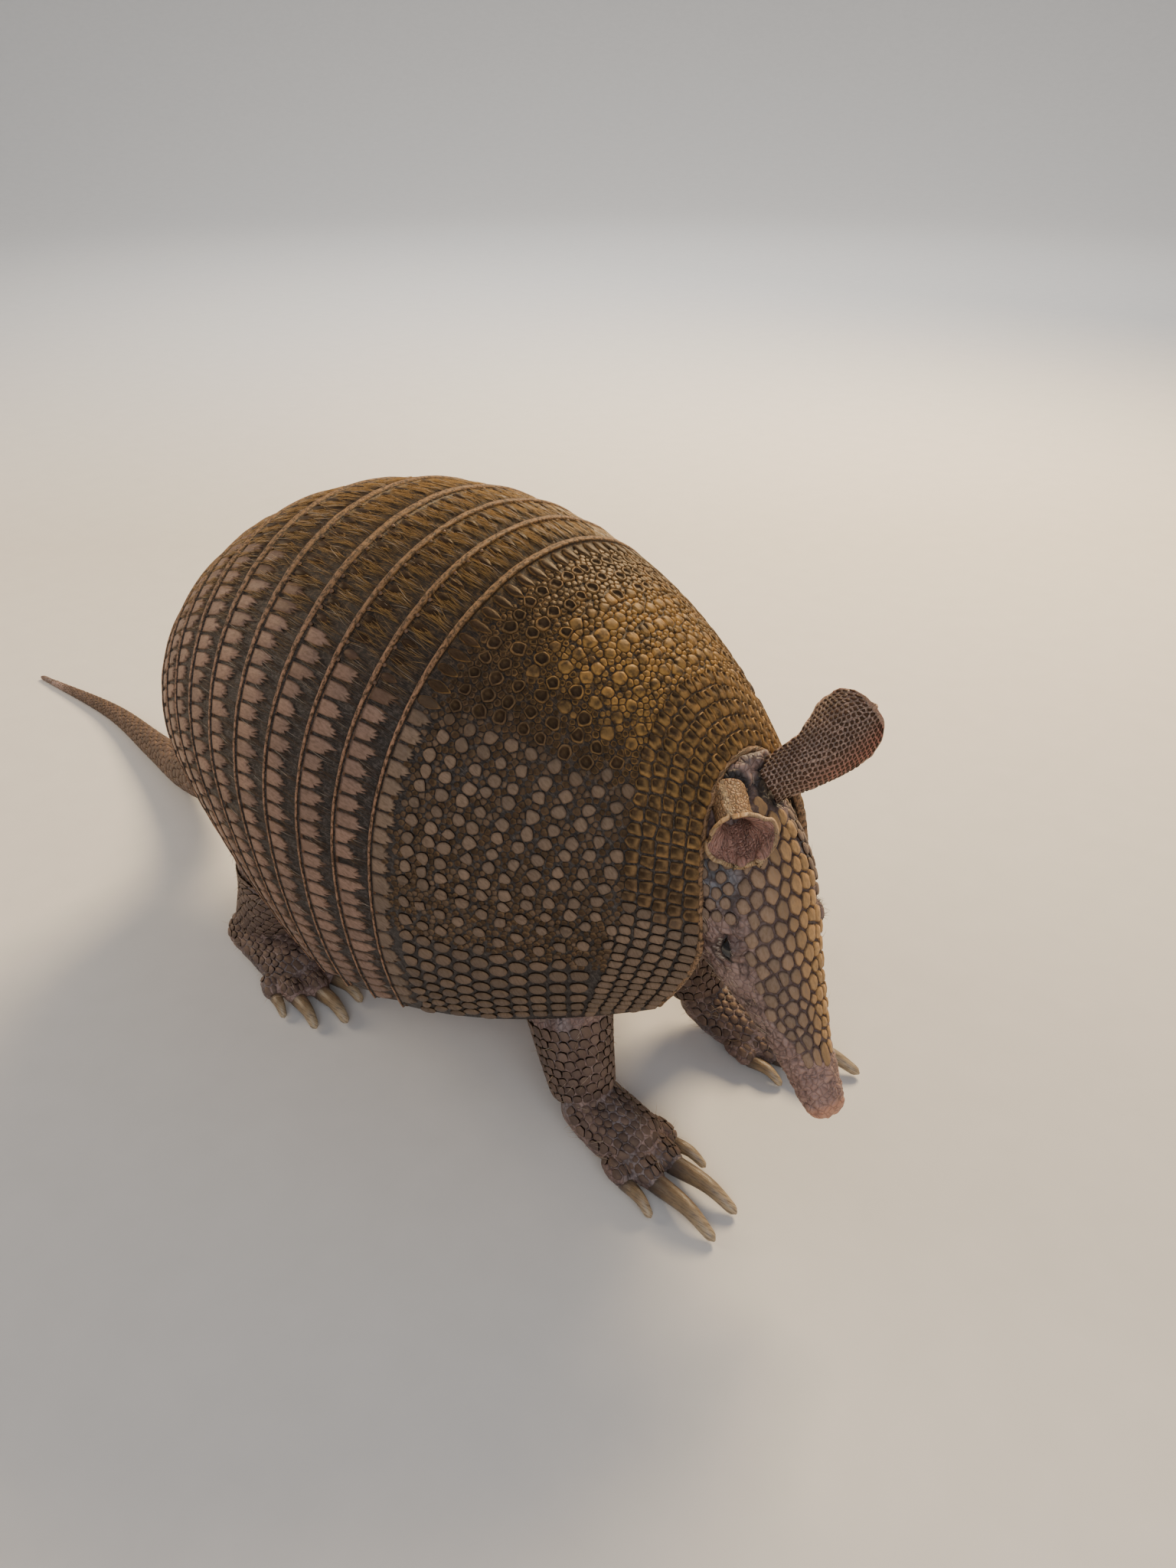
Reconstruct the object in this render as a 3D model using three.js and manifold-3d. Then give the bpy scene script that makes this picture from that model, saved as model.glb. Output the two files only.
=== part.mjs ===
// A life-size nine-banded armadillo that stands on a floor with its head lowered.
// Millimetres, +X towards the head, +Y the animal's left, +Z up, the floor at Z = 0.
import * as THREE from 'three';
import { mergeVertices } from 'three/addons/utils/BufferGeometryUtils.js';
import Module from 'manifold-3d';

const wasm = await Module();
wasm.setup();

const DEG = Math.PI / 180;
const GAP = 0.3;

// Where the middle of the body's centre line stands: over the floor, and ahead of the row's origin.
const STAND = 110;
const AHEAD = 104;

// The armour is a tube of half-ellipses round a centre line that bends down at both ends.
// v is the distance along that line in millimetres, 0 at the widest place and + towards the head.
const ARMOUR = {
  halfWidth: 79, top: 83, bottom: 123,
  front: { length: 127, width: 0.35, height: 0.34, widthPower: 1.7, heightPower: 2.3, bend: -0.0018 },
  rear: { length: 146, width: 0.31, height: 0.26, widthPower: 1.9, heightPower: 1.8, bend: -0.006 },
  tilt: -3 * DEG,
  rim: Math.PI / 2 + 0.6,
  thick: 3.0, edgeThick: 1.5, columns: 22,
};
const SHIELD_ROWS = 4;
const COLLAR = { top: 104, flank: 20 };
const BANDS = { count: 9, from: 36, pitch: 11.5, swell: 2.8, step: 1.2 };
const BELLY = { sag: 9, front: 112, rear: -142, steps: 9, columns: 5 };
// How far beyond the trunk's front each ring of its blunt end lies, and its share of the section.
const CHEST = [[5, 0.86], [8, 0.6]];

// The head is a tapering loft along its own axis: fraction of the length, half width, top, bottom.
const HEAD = {
  base: [104, 0.5, 13.5], yaw: -17.5 * DEG, pitch: -51 * DEG, length: 98,
  outline: [
    [0.00, 19.0, 19.0, 20.0], [0.15, 22.3, 21.3, 22.0], [0.30, 22.8, 20.8, 20.5],
    [0.45, 19.3, 17.4, 16.5], [0.60, 14.2, 13.0, 12.0], [0.80, 10.2, 9.6, 8.6],
    [0.93, 9.0, 8.7, 7.4], [0.985, 8.0, 7.6, 6.0], [1.01, 4.6, 4.6, 3.4],
  ],
  rings: [0.07, 0.17, 0.27, 0.36, 0.45, 0.54, 0.64, 0.76, 0.88, 0.95, 0.985, 1.01], sides: 16,
};
const EYE = { along: 0.43, turn: 62 * DEG, radius: 4.6, sunk: 3.7 };
const NECK = { from: -0.16, to: 0.067, radius: 23, flare: 3, taper: 2.4, flatten: 0.96, steps: 3, sides: 16 };

const EARS = {
  right: { root: [0.03, -28 * DEG], axis: [0.755, -0.604, 0.253], back: [0.07, 0.45, 0.86] },
  left: { root: [0.03, 28 * DEG], axis: [0.456, 0.758, 0.466], back: [0.546, -0.652, 0.5255] },
};
const EAR = {
  length: 37, rootRadius: 6.2, tipRadius: 13, halfSpan: 15.5, thick: 1.5, sunk: 1.5,
  widest: 2.62, blunt: 0.93, lean: 1.5, rows: 6, columns: 9,
};

const TAIL = {
  route: [[-127.5, 0, -51.5], [-142, 1, -70], [-164, 3, -86], [-198, 8, -97], [-242, 17, -102.6],
    [-300, 27, -106.2], [-376, 27, -108.6]],
  rootRadius: 15, tipRadius: 1.7, taper: 0.72, lengths: 5, rings: 20, sides: 8,
};

// How many sides and rings each limb's loft has, and how far its ends are rounded off.
const LEG = { sides: 10, rings: 4, round: 0.12 };
const SOLE = { sides: 10, rings: 5, round: 0.22, flatten: 0.78 };
const TOE = { sides: 6, rings: 3, round: 0.34, fan: 60, tipHeight: 0.9 };
const CLAW = { sides: 6, rings: 3, root: 0.16, crest: 0.5, arch: 0.4, clear: 0.25, taper: 0.52, round: 0.07, tip: 0.72 };

const LEGS = {
  front: {
    route: [[70, 27, -46], [77, 31, -70], [84, 33, -97]], radii: [17, 13.5, 10.5],
    sole: [[78, 33, -92], [92, 33.6, -99], [113, 34.5, -103.5]], soleRadii: [10.5, 12.2, 11.6],
    palm: [101, 34, -103.5],
    toes: [
      { spread: -9.6, length: 13, radius: 4.2, claw: 12, clawRadius: 2.4 },
      { spread: -3.7, length: 21, radius: 5.0, claw: 22, clawRadius: 3.3 },
      { spread: 3.5, length: 21, radius: 5.0, claw: 23, clawRadius: 3.3 },
      { spread: 9.6, length: 12, radius: 4.3, claw: 12, clawRadius: 2.5 },
    ],
    turn: 6 * DEG,
  },
  hind: {
    route: [[-66, 33, -40], [-59, 38, -64], [-76, 42.5, -98]], radii: [23, 18, 11],
    sole: [[-89, 42.5, -98], [-66, 44.6, -101], [-39, 47, -103.5]], soleRadii: [12, 13.2, 13.6],
    palm: [-54, 46, -103.5],
    toes: [
      { spread: -12.2, length: 13, radius: 4.1, claw: 9, clawRadius: 2.4 },
      { spread: -6.6, length: 21, radius: 4.8, claw: 13, clawRadius: 3.0 },
      { spread: 0.0, length: 24, radius: 5.1, claw: 15, clawRadius: 3.2 },
      { spread: 6.6, length: 20, radius: 4.8, claw: 13, clawRadius: 3.0 },
      { spread: 12.2, length: 10, radius: 4.1, claw: 9, clawRadius: 2.4 },
    ],
    turn: 9 * DEG,
  },
};

const FINISH = {
  plate: { color: 0x6b5a45, roughness: 0.55, metalness: 0 },
  band: { color: 0x7a6655, roughness: 0.6, metalness: 0 },
  skin: { color: 0xa98a7a, roughness: 0.75, metalness: 0 },
  ear: { color: 0x6f5750, roughness: 0.7, metalness: 0 },
  eye: { color: 0x0c0807, roughness: 0.15, metalness: 0 },
  claw: { color: 0xb7a078, roughness: 0.4, metalness: 0 },
};

const v3 = (p) => new THREE.Vector3(p[0], p[1], p[2]);
const mix = THREE.MathUtils.lerp;

// ---------------------------------------------------------------- closed meshes

/** A closed mesh from rings of equal count, with a fan over the first ring and over the last. */
function loft(rings) {
  const sides = rings[0].length;
  const points = rings.flat();
  const faces = [];
  for (let i = 0; i < rings.length - 1; i += 1) {
    for (let j = 0; j < sides; j += 1) {
      const next = (j + 1) % sides;
      const a = i * sides + j;
      const b = i * sides + next;
      faces.push([a, b, b + sides], [a, b + sides, a + sides]);
    }
  }
  for (const [ring, flip] of [[0, true], [rings.length - 1, false]]) {
    const middle = points.length;
    const centre = new THREE.Vector3();
    rings[ring].forEach((p) => centre.add(p));
    points.push(centre.divideScalar(sides));
    for (let j = 0; j < sides; j += 1) {
      const a = ring * sides + j;
      const b = ring * sides + ((j + 1) % sides);
      faces.push(flip ? [middle, b, a] : [middle, a, b]);
    }
  }
  return outward(points, faces);
}

/** A closed slab between two grids of points of equal size, with a wall round its edge. */
function slab(outer, inner) {
  const rows = outer.length;
  const columns = outer[0].length;
  const points = [...outer.flat(), ...inner.flat()];
  const under = rows * columns;
  const faces = [];
  for (let i = 0; i < rows - 1; i += 1) {
    for (let j = 0; j < columns - 1; j += 1) {
      const a = i * columns + j;
      const [b, c, d] = [a + 1, a + columns + 1, a + columns];
      faces.push([a, b, c], [a, c, d]);
      faces.push([under + a, under + c, under + b], [under + a, under + d, under + c]);
    }
  }
  const wall = (a, b) => faces.push([a, under + a, under + b], [a, under + b, b]);
  for (let j = 0; j < columns - 1; j += 1) {
    wall(j, j + 1);
    wall((rows - 1) * columns + j + 1, (rows - 1) * columns + j);
  }
  for (let i = 0; i < rows - 1; i += 1) {
    wall((i + 1) * columns, i * columns);
    wall(i * columns + columns - 1, (i + 1) * columns + columns - 1);
  }
  return outward(points, faces);
}

/** The mesh of these points and faces, turned so that its faces look outwards. */
function outward(points, faces) {
  let volume = 0;
  for (const [a, b, c] of faces) {
    volume += points[a].dot(new THREE.Vector3().crossVectors(points[b], points[c]));
  }
  const turned = volume < 0 ? faces.map(([a, b, c]) => [a, c, b]) : faces;
  const geometry = new THREE.BufferGeometry();
  const places = points.flatMap((p) => p.toArray());
  geometry.setAttribute('position', new THREE.Float32BufferAttribute(places, 3));
  geometry.setIndex(turned.flat());
  return geometry;
}

/** The manifold solid of a closed mesh. */
function toSolid(geometry) {
  const bare = geometry.clone();
  bare.deleteAttribute('normal');
  bare.deleteAttribute('uv');
  const merged = mergeVertices(bare, 1e-4);
  return new wasm.Manifold(new wasm.Mesh({
    numProp: 3,
    vertProperties: new Float32Array(merged.attributes.position.array),
    triVerts: new Uint32Array(merged.index.array),
  }));
}

/** The mesh of a manifold solid. */
function toGeometry(solid) {
  const mesh = solid.getMesh();
  const geometry = new THREE.BufferGeometry();
  geometry.setAttribute('position', new THREE.Float32BufferAttribute(mesh.vertProperties, 3));
  geometry.setIndex(Array.from(mesh.triVerts));
  return geometry;
}

/** The largest body that a cut has left. */
function largest(solid) {
  return solid.decompose().sort((a, b) => b.volume() - a.volume())[0];
}

/** Rings of a round, tapering limb along a smooth route, closed to a blunt point at both ends. */
function limbRings(route, radiusAt, sides, steps, flatten = 1) {
  const curve = new THREE.CatmullRomCurve3(route.map(v3));
  const rings = [];
  for (let i = 0; i <= steps; i += 1) {
    const along = i / steps;
    const forward = curve.getTangentAt(along);
    const side = new THREE.Vector3(0, 0, 1).cross(forward).normalize();
    const up = new THREE.Vector3().crossVectors(forward, side);
    const centre = curve.getPointAt(along);
    const radius = radiusAt(along);
    rings.push(Array.from({ length: sides }, (_, j) => {
      const turn = ((j + 0.5) / sides) * 2 * Math.PI;
      return centre.clone()
        .addScaledVector(side, radius * Math.cos(turn))
        .addScaledVector(up, flatten * radius * Math.sin(turn));
    }));
  }
  return rings;
}

/** The radius at a place along a limb whose ends are rounded off over this share of its length. */
function roundEnds(along, radius, share) {
  const near = Math.min(along, 1 - along) / share;
  const bluntest = 0.06;
  return radius * (near >= 1 ? 1 : Math.sqrt(Math.max(bluntest, 1 - (1 - near) ** 2)));
}

// ---------------------------------------------------------------- the armour's surface

/** The centre line at v: its place, and the direction that is up in its section. */
function centreLine(v) {
  const bend = v > 0 ? ARMOUR.front.bend : ARMOUR.rear.bend;
  const angle = ARMOUR.tilt + bend * v;
  return {
    centre: new THREE.Vector3(
      (Math.sin(angle) - Math.sin(ARMOUR.tilt)) / bend, 0,
      (Math.cos(ARMOUR.tilt) - Math.cos(angle)) / bend),
    up: new THREE.Vector3(-Math.sin(angle), 0, Math.cos(angle)),
  };
}

/** The section's half width, and its height above and below the centre line. */
function sectionSize(v) {
  const end = v > 0 ? ARMOUR.front : ARMOUR.rear;
  const share = Math.abs(v) / end.length;
  const width = mix(1, end.width, share ** end.widthPower);
  const height = mix(1, end.height, share ** end.heightPower);
  return { width: ARMOUR.halfWidth * width, top: ARMOUR.top * height, bottom: ARMOUR.bottom * height };
}

/** A point of the armour, at phi round from the ridge (+ to the animal's left), sunk by inset. */
function armourPoint(v, phi, inset) {
  const { centre, up } = centreLine(v);
  const size = sectionSize(v);
  const height = Math.cos(phi) > 0 ? size.top : size.bottom;
  return centre.clone()
    .addScaledVector(up, (height - inset) * Math.cos(phi))
    .add(new THREE.Vector3(0, (size.width - inset) * Math.sin(phi), 0));
}

/** A plate of armour from frontAt(phi) back to rearAt(phi), between two depths below the surface. */
function plate(frontAt, rearAt, rows, outerAt, innerAt, rim = ARMOUR.rim) {
  const columns = ARMOUR.columns;
  const surface = (depthAt) => Array.from({ length: rows + 1 }, (_, i) => (
    Array.from({ length: columns + 1 }, (__, j) => {
      const phi = mix(-rim, rim, j / columns);
      const back = i / rows;
      return armourPoint(mix(frontAt(phi), rearAt(phi), back), phi, depthAt(back));
    })
  ));
  return slab(surface(outerAt), surface(innerAt));
}

/** Where the scapular shield's front edge lies, further ahead on the flanks than on the ridge. */
const collarAt = (phi) => COLLAR.top + COLLAR.flank * Math.sin(phi) ** 2;

/** The rear edges of the scapular shield (0) and of each band (1 to the count). */
function bandEdges() {
  const edges = [BANDS.from];
  for (let k = 1; k <= BANDS.count; k += 1) {
    edges.push(edges[k - 1] - BANDS.pitch - BANDS.swell * Math.sin((Math.PI * k) / (BANDS.count + 1)));
  }
  return edges;
}

const flush = () => 0;
const whole = () => ARMOUR.thick;
const thinFront = (back) => mix(ARMOUR.edgeThick, ARMOUR.thick, Math.min(1, back * 2));

/** Every plate of the armour with its name: two shields and the bands between them. */
function armourPlates() {
  const edges = bandEdges();
  const last = edges[BANDS.count];
  const shield = plate(collarAt, () => edges[0], SHIELD_ROWS, flush, thinFront);
  const plates = [{ name: 'scapular_shield', geometry: shield }];
  for (let k = 1; k <= BANDS.count; k += 1) {
    const sunk = (back) => BANDS.step * (1 - back);
    plates.push({
      name: `band_${k}`,
      geometry: plate(() => edges[k - 1] - GAP, () => edges[k], 1, sunk, whole),
    });
  }
  plates.push({
    name: 'pelvic_shield',
    geometry: plate(() => last - GAP, () => -ARMOUR.rear.length, SHIELD_ROWS, flush, whole),
  });
  return plates;
}

/** The room that the armour needs: its own space, a gap inside it, and all that lies outside it. */
function armourRoom() {
  const outside = () => -COLLAR.flank;
  const front = (phi) => collarAt(phi) + GAP;
  const rim = ARMOUR.rim + 0.02;
  const underShield = (back) => thinFront(back) + GAP;
  const underRest = () => ARMOUR.thick + GAP;
  const shield = plate(front, () => BANDS.from, SHIELD_ROWS, outside, underShield, rim);
  const rest = plate(() => BANDS.from, () => -ARMOUR.rear.length, 3 * SHIELD_ROWS, outside, underRest, rim);
  return toSolid(shield).add(toSolid(rest));
}

// ---------------------------------------------------------------- trunk, neck and head

/** One closed section of the trunk, round inside the armour and across the belly below it. */
function trunkRing(v, inset, shrink) {
  const arch = ARMOUR.columns / 2;
  const ring = [];
  for (let j = 0; j <= arch; j += 1) {
    ring.push(armourPoint(v, mix(-ARMOUR.rim, ARMOUR.rim, j / arch), inset));
  }
  const [left, right] = [ring[arch], ring[0]];
  for (let j = 1; j < BELLY.columns; j += 1) {
    const across = j / BELLY.columns;
    const point = left.clone().lerp(right, across);
    ring.push(point.add(new THREE.Vector3(0, 0, -BELLY.sag * Math.sin(Math.PI * across))));
  }
  const { centre } = centreLine(v);
  return ring.map((p) => centre.clone().lerp(p, shrink));
}

/** The trunk, sunk by inset inside the armour, and longer at each end by longer. */
function trunkSolid(inset, longer) {
  const rings = [];
  for (let i = 0; i <= BELLY.steps; i += 1) {
    const v = mix(BELLY.rear - longer, BELLY.front + longer, i / BELLY.steps);
    rings.push(trunkRing(v, inset, 1));
  }
  CHEST.forEach(([beyond, share]) => rings.push(trunkRing(BELLY.front + longer + beyond, inset, share)));
  return toSolid(loft(rings));
}

/** The head's own axes: along the snout, to its left and out of its brow. */
function headAxes() {
  const forward = new THREE.Vector3(
    Math.cos(HEAD.pitch) * Math.cos(HEAD.yaw),
    Math.cos(HEAD.pitch) * Math.sin(HEAD.yaw),
    Math.sin(HEAD.pitch));
  const left = new THREE.Vector3(-Math.sin(HEAD.yaw), Math.cos(HEAD.yaw), 0);
  return { forward, left, up: new THREE.Vector3().crossVectors(forward, left) };
}

/** The head's half width, top and bottom at a fraction of its length, eased between its outline. */
function headSize(along) {
  const rows = HEAD.outline;
  const last = rows.length - 1;
  const at = THREE.MathUtils.clamp(rows.findIndex((row) => row[0] > along) - 1, 0, last - 1);
  const index = along >= rows[last][0] ? last - 1 : at;
  const [a, b] = [rows[index], rows[index + 1]];
  const share = THREE.MathUtils.clamp((along - a[0]) / (b[0] - a[0]), 0, 1);
  const before = rows[Math.max(0, index - 1)];
  const after = rows[Math.min(last, index + 2)];
  return [1, 2, 3].map((i) => {
    const start = ((b[i] - before[i]) / Math.max(1e-6, b[0] - before[0])) * (b[0] - a[0]);
    const end = ((after[i] - a[i]) / Math.max(1e-6, after[0] - a[0])) * (b[0] - a[0]);
    const s2 = share * share;
    const s3 = s2 * share;
    return (2 * s3 - 3 * s2 + 1) * a[i] + (s3 - 2 * s2 + share) * start
      + (3 * s2 - 2 * s3) * b[i] + (s3 - s2) * end;
  });
}

/** A point of the head at turn round from its brow (+ to its left), grown outwards by grow. */
function headPoint(along, turn, grow) {
  const { forward, left, up } = headAxes();
  const [width, top, bottom] = headSize(along);
  const height = Math.cos(turn) > 0 ? top : bottom;
  return v3(HEAD.base)
    .addScaledVector(forward, along * HEAD.length)
    .addScaledVector(up, (height + grow) * Math.cos(turn))
    .addScaledVector(left, (width + grow) * Math.sin(turn));
}

/** The head, grown outwards by grow, with its rear ring moved back by as much. */
function headSolid(grow) {
  const stations = HEAD.rings.map((along, i) => (i === 0 ? along - grow / HEAD.length : along));
  return toSolid(loft(stations.map((along) => (
    Array.from({ length: HEAD.sides }, (_, j) => (
      headPoint(along, ((j + 0.5) / HEAD.sides) * 2 * Math.PI, grow)
    ))
  ))));
}

/** The neck, a short tapering collar round the head's own axis. */
function neckSolid(grow) {
  const { forward, left, up } = headAxes();
  const rings = [];
  for (let i = 0; i <= NECK.steps; i += 1) {
    const share = i / NECK.steps;
    const along = mix(NECK.from, NECK.to, share);
    const radius = NECK.radius + NECK.flare * (1 - share) + grow - NECK.taper * share;
    rings.push(Array.from({ length: NECK.sides }, (_, j) => {
      const turn = (j / NECK.sides) * 2 * Math.PI;
      return v3(HEAD.base)
        .addScaledVector(forward, along * HEAD.length)
        .addScaledVector(up, NECK.flatten * radius * Math.cos(turn))
        .addScaledVector(left, radius * Math.sin(turn));
    }));
  }
  return toSolid(loft(rings));
}

/** An eyeball sunk in the head, on its right (-1) or left (1). */
function eyeBall(side, grow) {
  const { forward } = headAxes();
  const surface = headPoint(EYE.along, side * EYE.turn, 0);
  const inner = v3(HEAD.base).addScaledVector(forward, EYE.along * HEAD.length);
  const centre = surface.clone().addScaledVector(inner.sub(surface).normalize(), EYE.sunk);
  const ball = new THREE.SphereGeometry(EYE.radius + grow, 10, 6);
  ball.translate(centre.x, centre.y, centre.z);
  return ball;
}

/** An ear: a leaf rolled round its axis, nearly shut at the root and open like a spoon at its tip. */
function earGeometry({ root, axis, back }) {
  const along = v3(axis).normalize();
  const rear = v3(back);
  rear.addScaledVector(along, -rear.dot(along)).normalize();
  const side = new THREE.Vector3().crossVectors(along, rear);
  const start = headPoint(root[0], root[1], -EAR.sunk);
  const surface = (inset) => Array.from({ length: EAR.rows + 1 }, (_, i) => {
    const u = i / EAR.rows;
    const radius = mix(EAR.rootRadius, EAR.tipRadius, u ** 0.9);
    const span = EAR.halfSpan * Math.sqrt(1 - EAR.blunt * u ** 4);
    const reach = Math.min(span / radius, EAR.widest);
    const middle = start.clone()
      .addScaledVector(along, u * EAR.length)
      .addScaledVector(rear, EAR.lean * u + EAR.rootRadius - radius);
    return Array.from({ length: EAR.columns + 1 }, (__, j) => {
      const turn = mix(-reach, reach, j / EAR.columns);
      return middle.clone()
        .addScaledVector(rear, (radius - inset) * Math.cos(turn))
        .addScaledVector(side, (radius - inset) * Math.sin(turn));
    });
  });
  return slab(surface(0), surface(EAR.thick));
}

// ---------------------------------------------------------------- legs, feet, claws and tail

/** A block that fills all below the floor. */
function belowFloor() {
  const depth = 60;
  const block = new THREE.BoxGeometry(900, 400, depth);
  block.translate(0, 0, -STAND - depth / 2);
  return toSolid(block);
}

const mirrored = (point, side) => [point[0], side * point[1], point[2]];

/** Three radii eased along a limb, blunt at its ends. */
function limbRadius([start, middle, end], share) {
  return (t) => roundEnds(t, t < 0.5 ? mix(start, middle, t * 2) : mix(middle, end, t * 2 - 1), share);
}

/** A leg from under the armour down into its foot. */
function legSolid(spec, side) {
  const route = spec.route.map((p) => mirrored(p, side));
  return toSolid(loft(limbRings(route, limbRadius(spec.radii, LEG.round), LEG.sides, LEG.rings)));
}

/** Where a toe's root, its tip and its claw's tip are, on this side. */
function toeLine(spec, toe, side) {
  const turn = spec.turn + toe.spread / TOE.fan;
  const reach = (from, length, height) => [
    from[0] + Math.cos(turn) * length, from[1] + Math.sin(turn) * length, height];
  const root = [spec.palm[0], spec.palm[1] + toe.spread, spec.palm[2]];
  const tip = reach(root, toe.length, -STAND + toe.radius * TOE.tipHeight);
  const point = reach(tip, toe.claw, -STAND + toe.clawRadius * (1 - CLAW.taper) + CLAW.clear);
  return { root: mirrored(root, side), tip: mirrored(tip, side), point: mirrored(point, side) };
}

/** The rings of a claw: out of the toe, over in a low arch and down to its blunt point. */
function clawRings(spec, toe, side, grow) {
  const { root, tip, point } = toeLine(spec, toe, side);
  const start = v3(tip).lerp(v3(root), CLAW.root);
  const crest = v3(tip).lerp(v3(point), CLAW.crest);
  crest.z = tip[2] + toe.clawRadius * CLAW.arch;
  const radiusAt = (t) => (
    toe.clawRadius * (1 - CLAW.taper * t ** 1.4) * (t > 1 - CLAW.round ? CLAW.tip : 1) + grow);
  return limbRings([start.toArray(), crest.toArray(), point], radiusAt, CLAW.sides, CLAW.rings);
}

/** A foot: its sole and toes in one, flat on the floor, with room for its claws. */
function footSolid(spec, side, grow) {
  const soleRadius = (t) => limbRadius(spec.soleRadii, SOLE.round)(t) + grow;
  const route = spec.sole.map((p) => mirrored(p, side));
  let foot = toSolid(loft(limbRings(route, soleRadius, SOLE.sides, SOLE.rings, SOLE.flatten)));
  for (const toe of spec.toes) {
    const { root, tip } = toeLine(spec, toe, side);
    const toeRadius = (t) => roundEnds(t, toe.radius + grow, TOE.round);
    foot = foot.add(toSolid(loft(limbRings([root, tip], toeRadius, TOE.sides, TOE.rings))));
  }
  foot = foot.subtract(belowFloor());
  for (const toe of spec.toes) {
    foot = foot.subtract(toSolid(loft(clawRings(spec, toe, side, GAP))));
  }
  return foot;
}

/** The tail in its lengths, laid on the floor with its underside flat where it lies. */
function tailPieces() {
  const radiusAt = (t) => mix(TAIL.rootRadius, TAIL.tipRadius, t ** TAIL.taper);
  const rings = limbRings(TAIL.route, radiusAt, TAIL.sides, TAIL.rings);
  const share = TAIL.rings / TAIL.lengths;
  return Array.from({ length: TAIL.lengths }, (_, k) => {
    const part = rings.slice(k * share, (k + 1) * share + 1).map((ring) => ring.map((p) => p.clone()));
    if (k > 0) {
      const ahead = part[1][0].clone().sub(part[0][0]).normalize();
      part[0].forEach((p) => p.addScaledVector(ahead, GAP));
    }
    part.flat().forEach((p) => p.setZ(Math.max(p.z, -STAND)));
    return { name: `tail_${k + 1}`, geometry: loft(part) };
  });
}

// ---------------------------------------------------------------- the whole animal

const group = new THREE.Group();

/** Adds a mesh of this name and finish to the group. */
function place(name, geometry, finish) {
  const shape = geometry.index ? geometry : mergeVertices(geometry);
  shape.computeVertexNormals();
  const mesh = new THREE.Mesh(shape, new THREE.MeshStandardMaterial(finish));
  mesh.name = name;
  group.add(mesh);
}

armourPlates().forEach(({ name, geometry }) => {
  place(name, geometry, name.startsWith('band') ? FINISH.band : FINISH.plate);
});

const overArmour = armourRoom();
const trunkInset = ARMOUR.thick + 3 * GAP;
const neckHole = neckSolid(GAP).add(headSolid(GAP));
place('trunk', toGeometry(trunkSolid(trunkInset, 0).subtract(neckHole)), FINISH.skin);
place('neck', toGeometry(largest(neckSolid(0).subtract(overArmour))), FINISH.skin);

let head = headSolid(0).subtract(overArmour);
for (const [name, side] of [['right', -1], ['left', 1]]) {
  head = head.subtract(toSolid(eyeBall(side, GAP)));
  place(`eye_${name}`, eyeBall(side, 0), FINISH.eye);
  const ear = toSolid(earGeometry(EARS[name])).subtract(headSolid(GAP)).subtract(neckSolid(GAP))
    .subtract(overArmour);
  place(`ear_${name}`, toGeometry(largest(ear)), FINISH.ear);
}
place('head', toGeometry(largest(head)), FINISH.skin);

const trunkRoom = trunkSolid(trunkInset - GAP, GAP);
for (const [where, spec] of Object.entries(LEGS)) {
  for (const [name, side] of [['right', -1], ['left', 1]]) {
    const foot = footSolid(spec, side, 0);
    const leg = legSolid(spec, side).subtract(trunkRoom).subtract(overArmour);
    place(`foot_${where}_${name}`, toGeometry(largest(foot)), FINISH.skin);
    place(`leg_${where}_${name}`, toGeometry(largest(leg.subtract(footSolid(spec, side, GAP)))), FINISH.skin);
    spec.toes.forEach((toe, i) => {
      place(`claw_${where}_${name}_${i + 1}`, loft(clawRings(spec, toe, side, 0)), FINISH.claw);
    });
  }
}
tailPieces().forEach(({ name, geometry }) => {
  const piece = largest(toSolid(geometry).subtract(trunkRoom).subtract(overArmour));
  place(name, toGeometry(piece), FINISH.skin);
});

group.position.set(AHEAD, 0, STAND);

export default group;
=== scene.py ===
"""The looks of a life-size nine-banded armadillo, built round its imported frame.

Metres, +X towards the head, +Y to the animal's left, +Z up, the floor at Z = 0.
"""

import logging
import math
from dataclasses import dataclass
from enum import Enum
from typing import Callable, Iterable, Sequence

import bpy
import numpy as np
from mathutils import Matrix, Vector, kdtree
from mathutils.bvhtree import BVHTree


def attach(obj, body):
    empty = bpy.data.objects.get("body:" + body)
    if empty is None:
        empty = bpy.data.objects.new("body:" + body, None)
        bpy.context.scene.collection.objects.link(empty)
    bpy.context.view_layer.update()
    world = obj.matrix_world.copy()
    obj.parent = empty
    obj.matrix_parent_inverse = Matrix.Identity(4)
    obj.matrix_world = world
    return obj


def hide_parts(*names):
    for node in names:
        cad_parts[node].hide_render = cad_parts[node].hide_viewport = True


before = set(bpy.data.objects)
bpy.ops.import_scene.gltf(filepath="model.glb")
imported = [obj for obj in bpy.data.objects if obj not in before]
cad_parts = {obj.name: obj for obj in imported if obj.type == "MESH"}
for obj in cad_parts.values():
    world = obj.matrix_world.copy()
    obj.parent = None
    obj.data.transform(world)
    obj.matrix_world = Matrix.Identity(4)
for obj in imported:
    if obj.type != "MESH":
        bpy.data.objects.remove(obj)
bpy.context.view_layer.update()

LOG = logging.getLogger("armadillo")
MM = 0.001
DEG = math.pi / 180
TINY = 1e-12
BODY = "root"
# The middle of the body's centre line, in the row's frame.
ORIGIN = np.array([104 * MM, 0.0, 110 * MM])
BAKE_MAP = "OFBake"
LAY_MAP = "Lay"
MARKS = "marks"
# One unit of the lay map, which follows a surface along and around, in metres.
LAY_UNIT = 0.1
TUFT_PATCH = 0.003

Array = np.ndarray
Outline = list[tuple[float, float]]
Colour = tuple[float, float, float]
Piece = bpy.types.Object
Socket = bpy.types.NodeSocket
Material = bpy.types.Material


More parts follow.
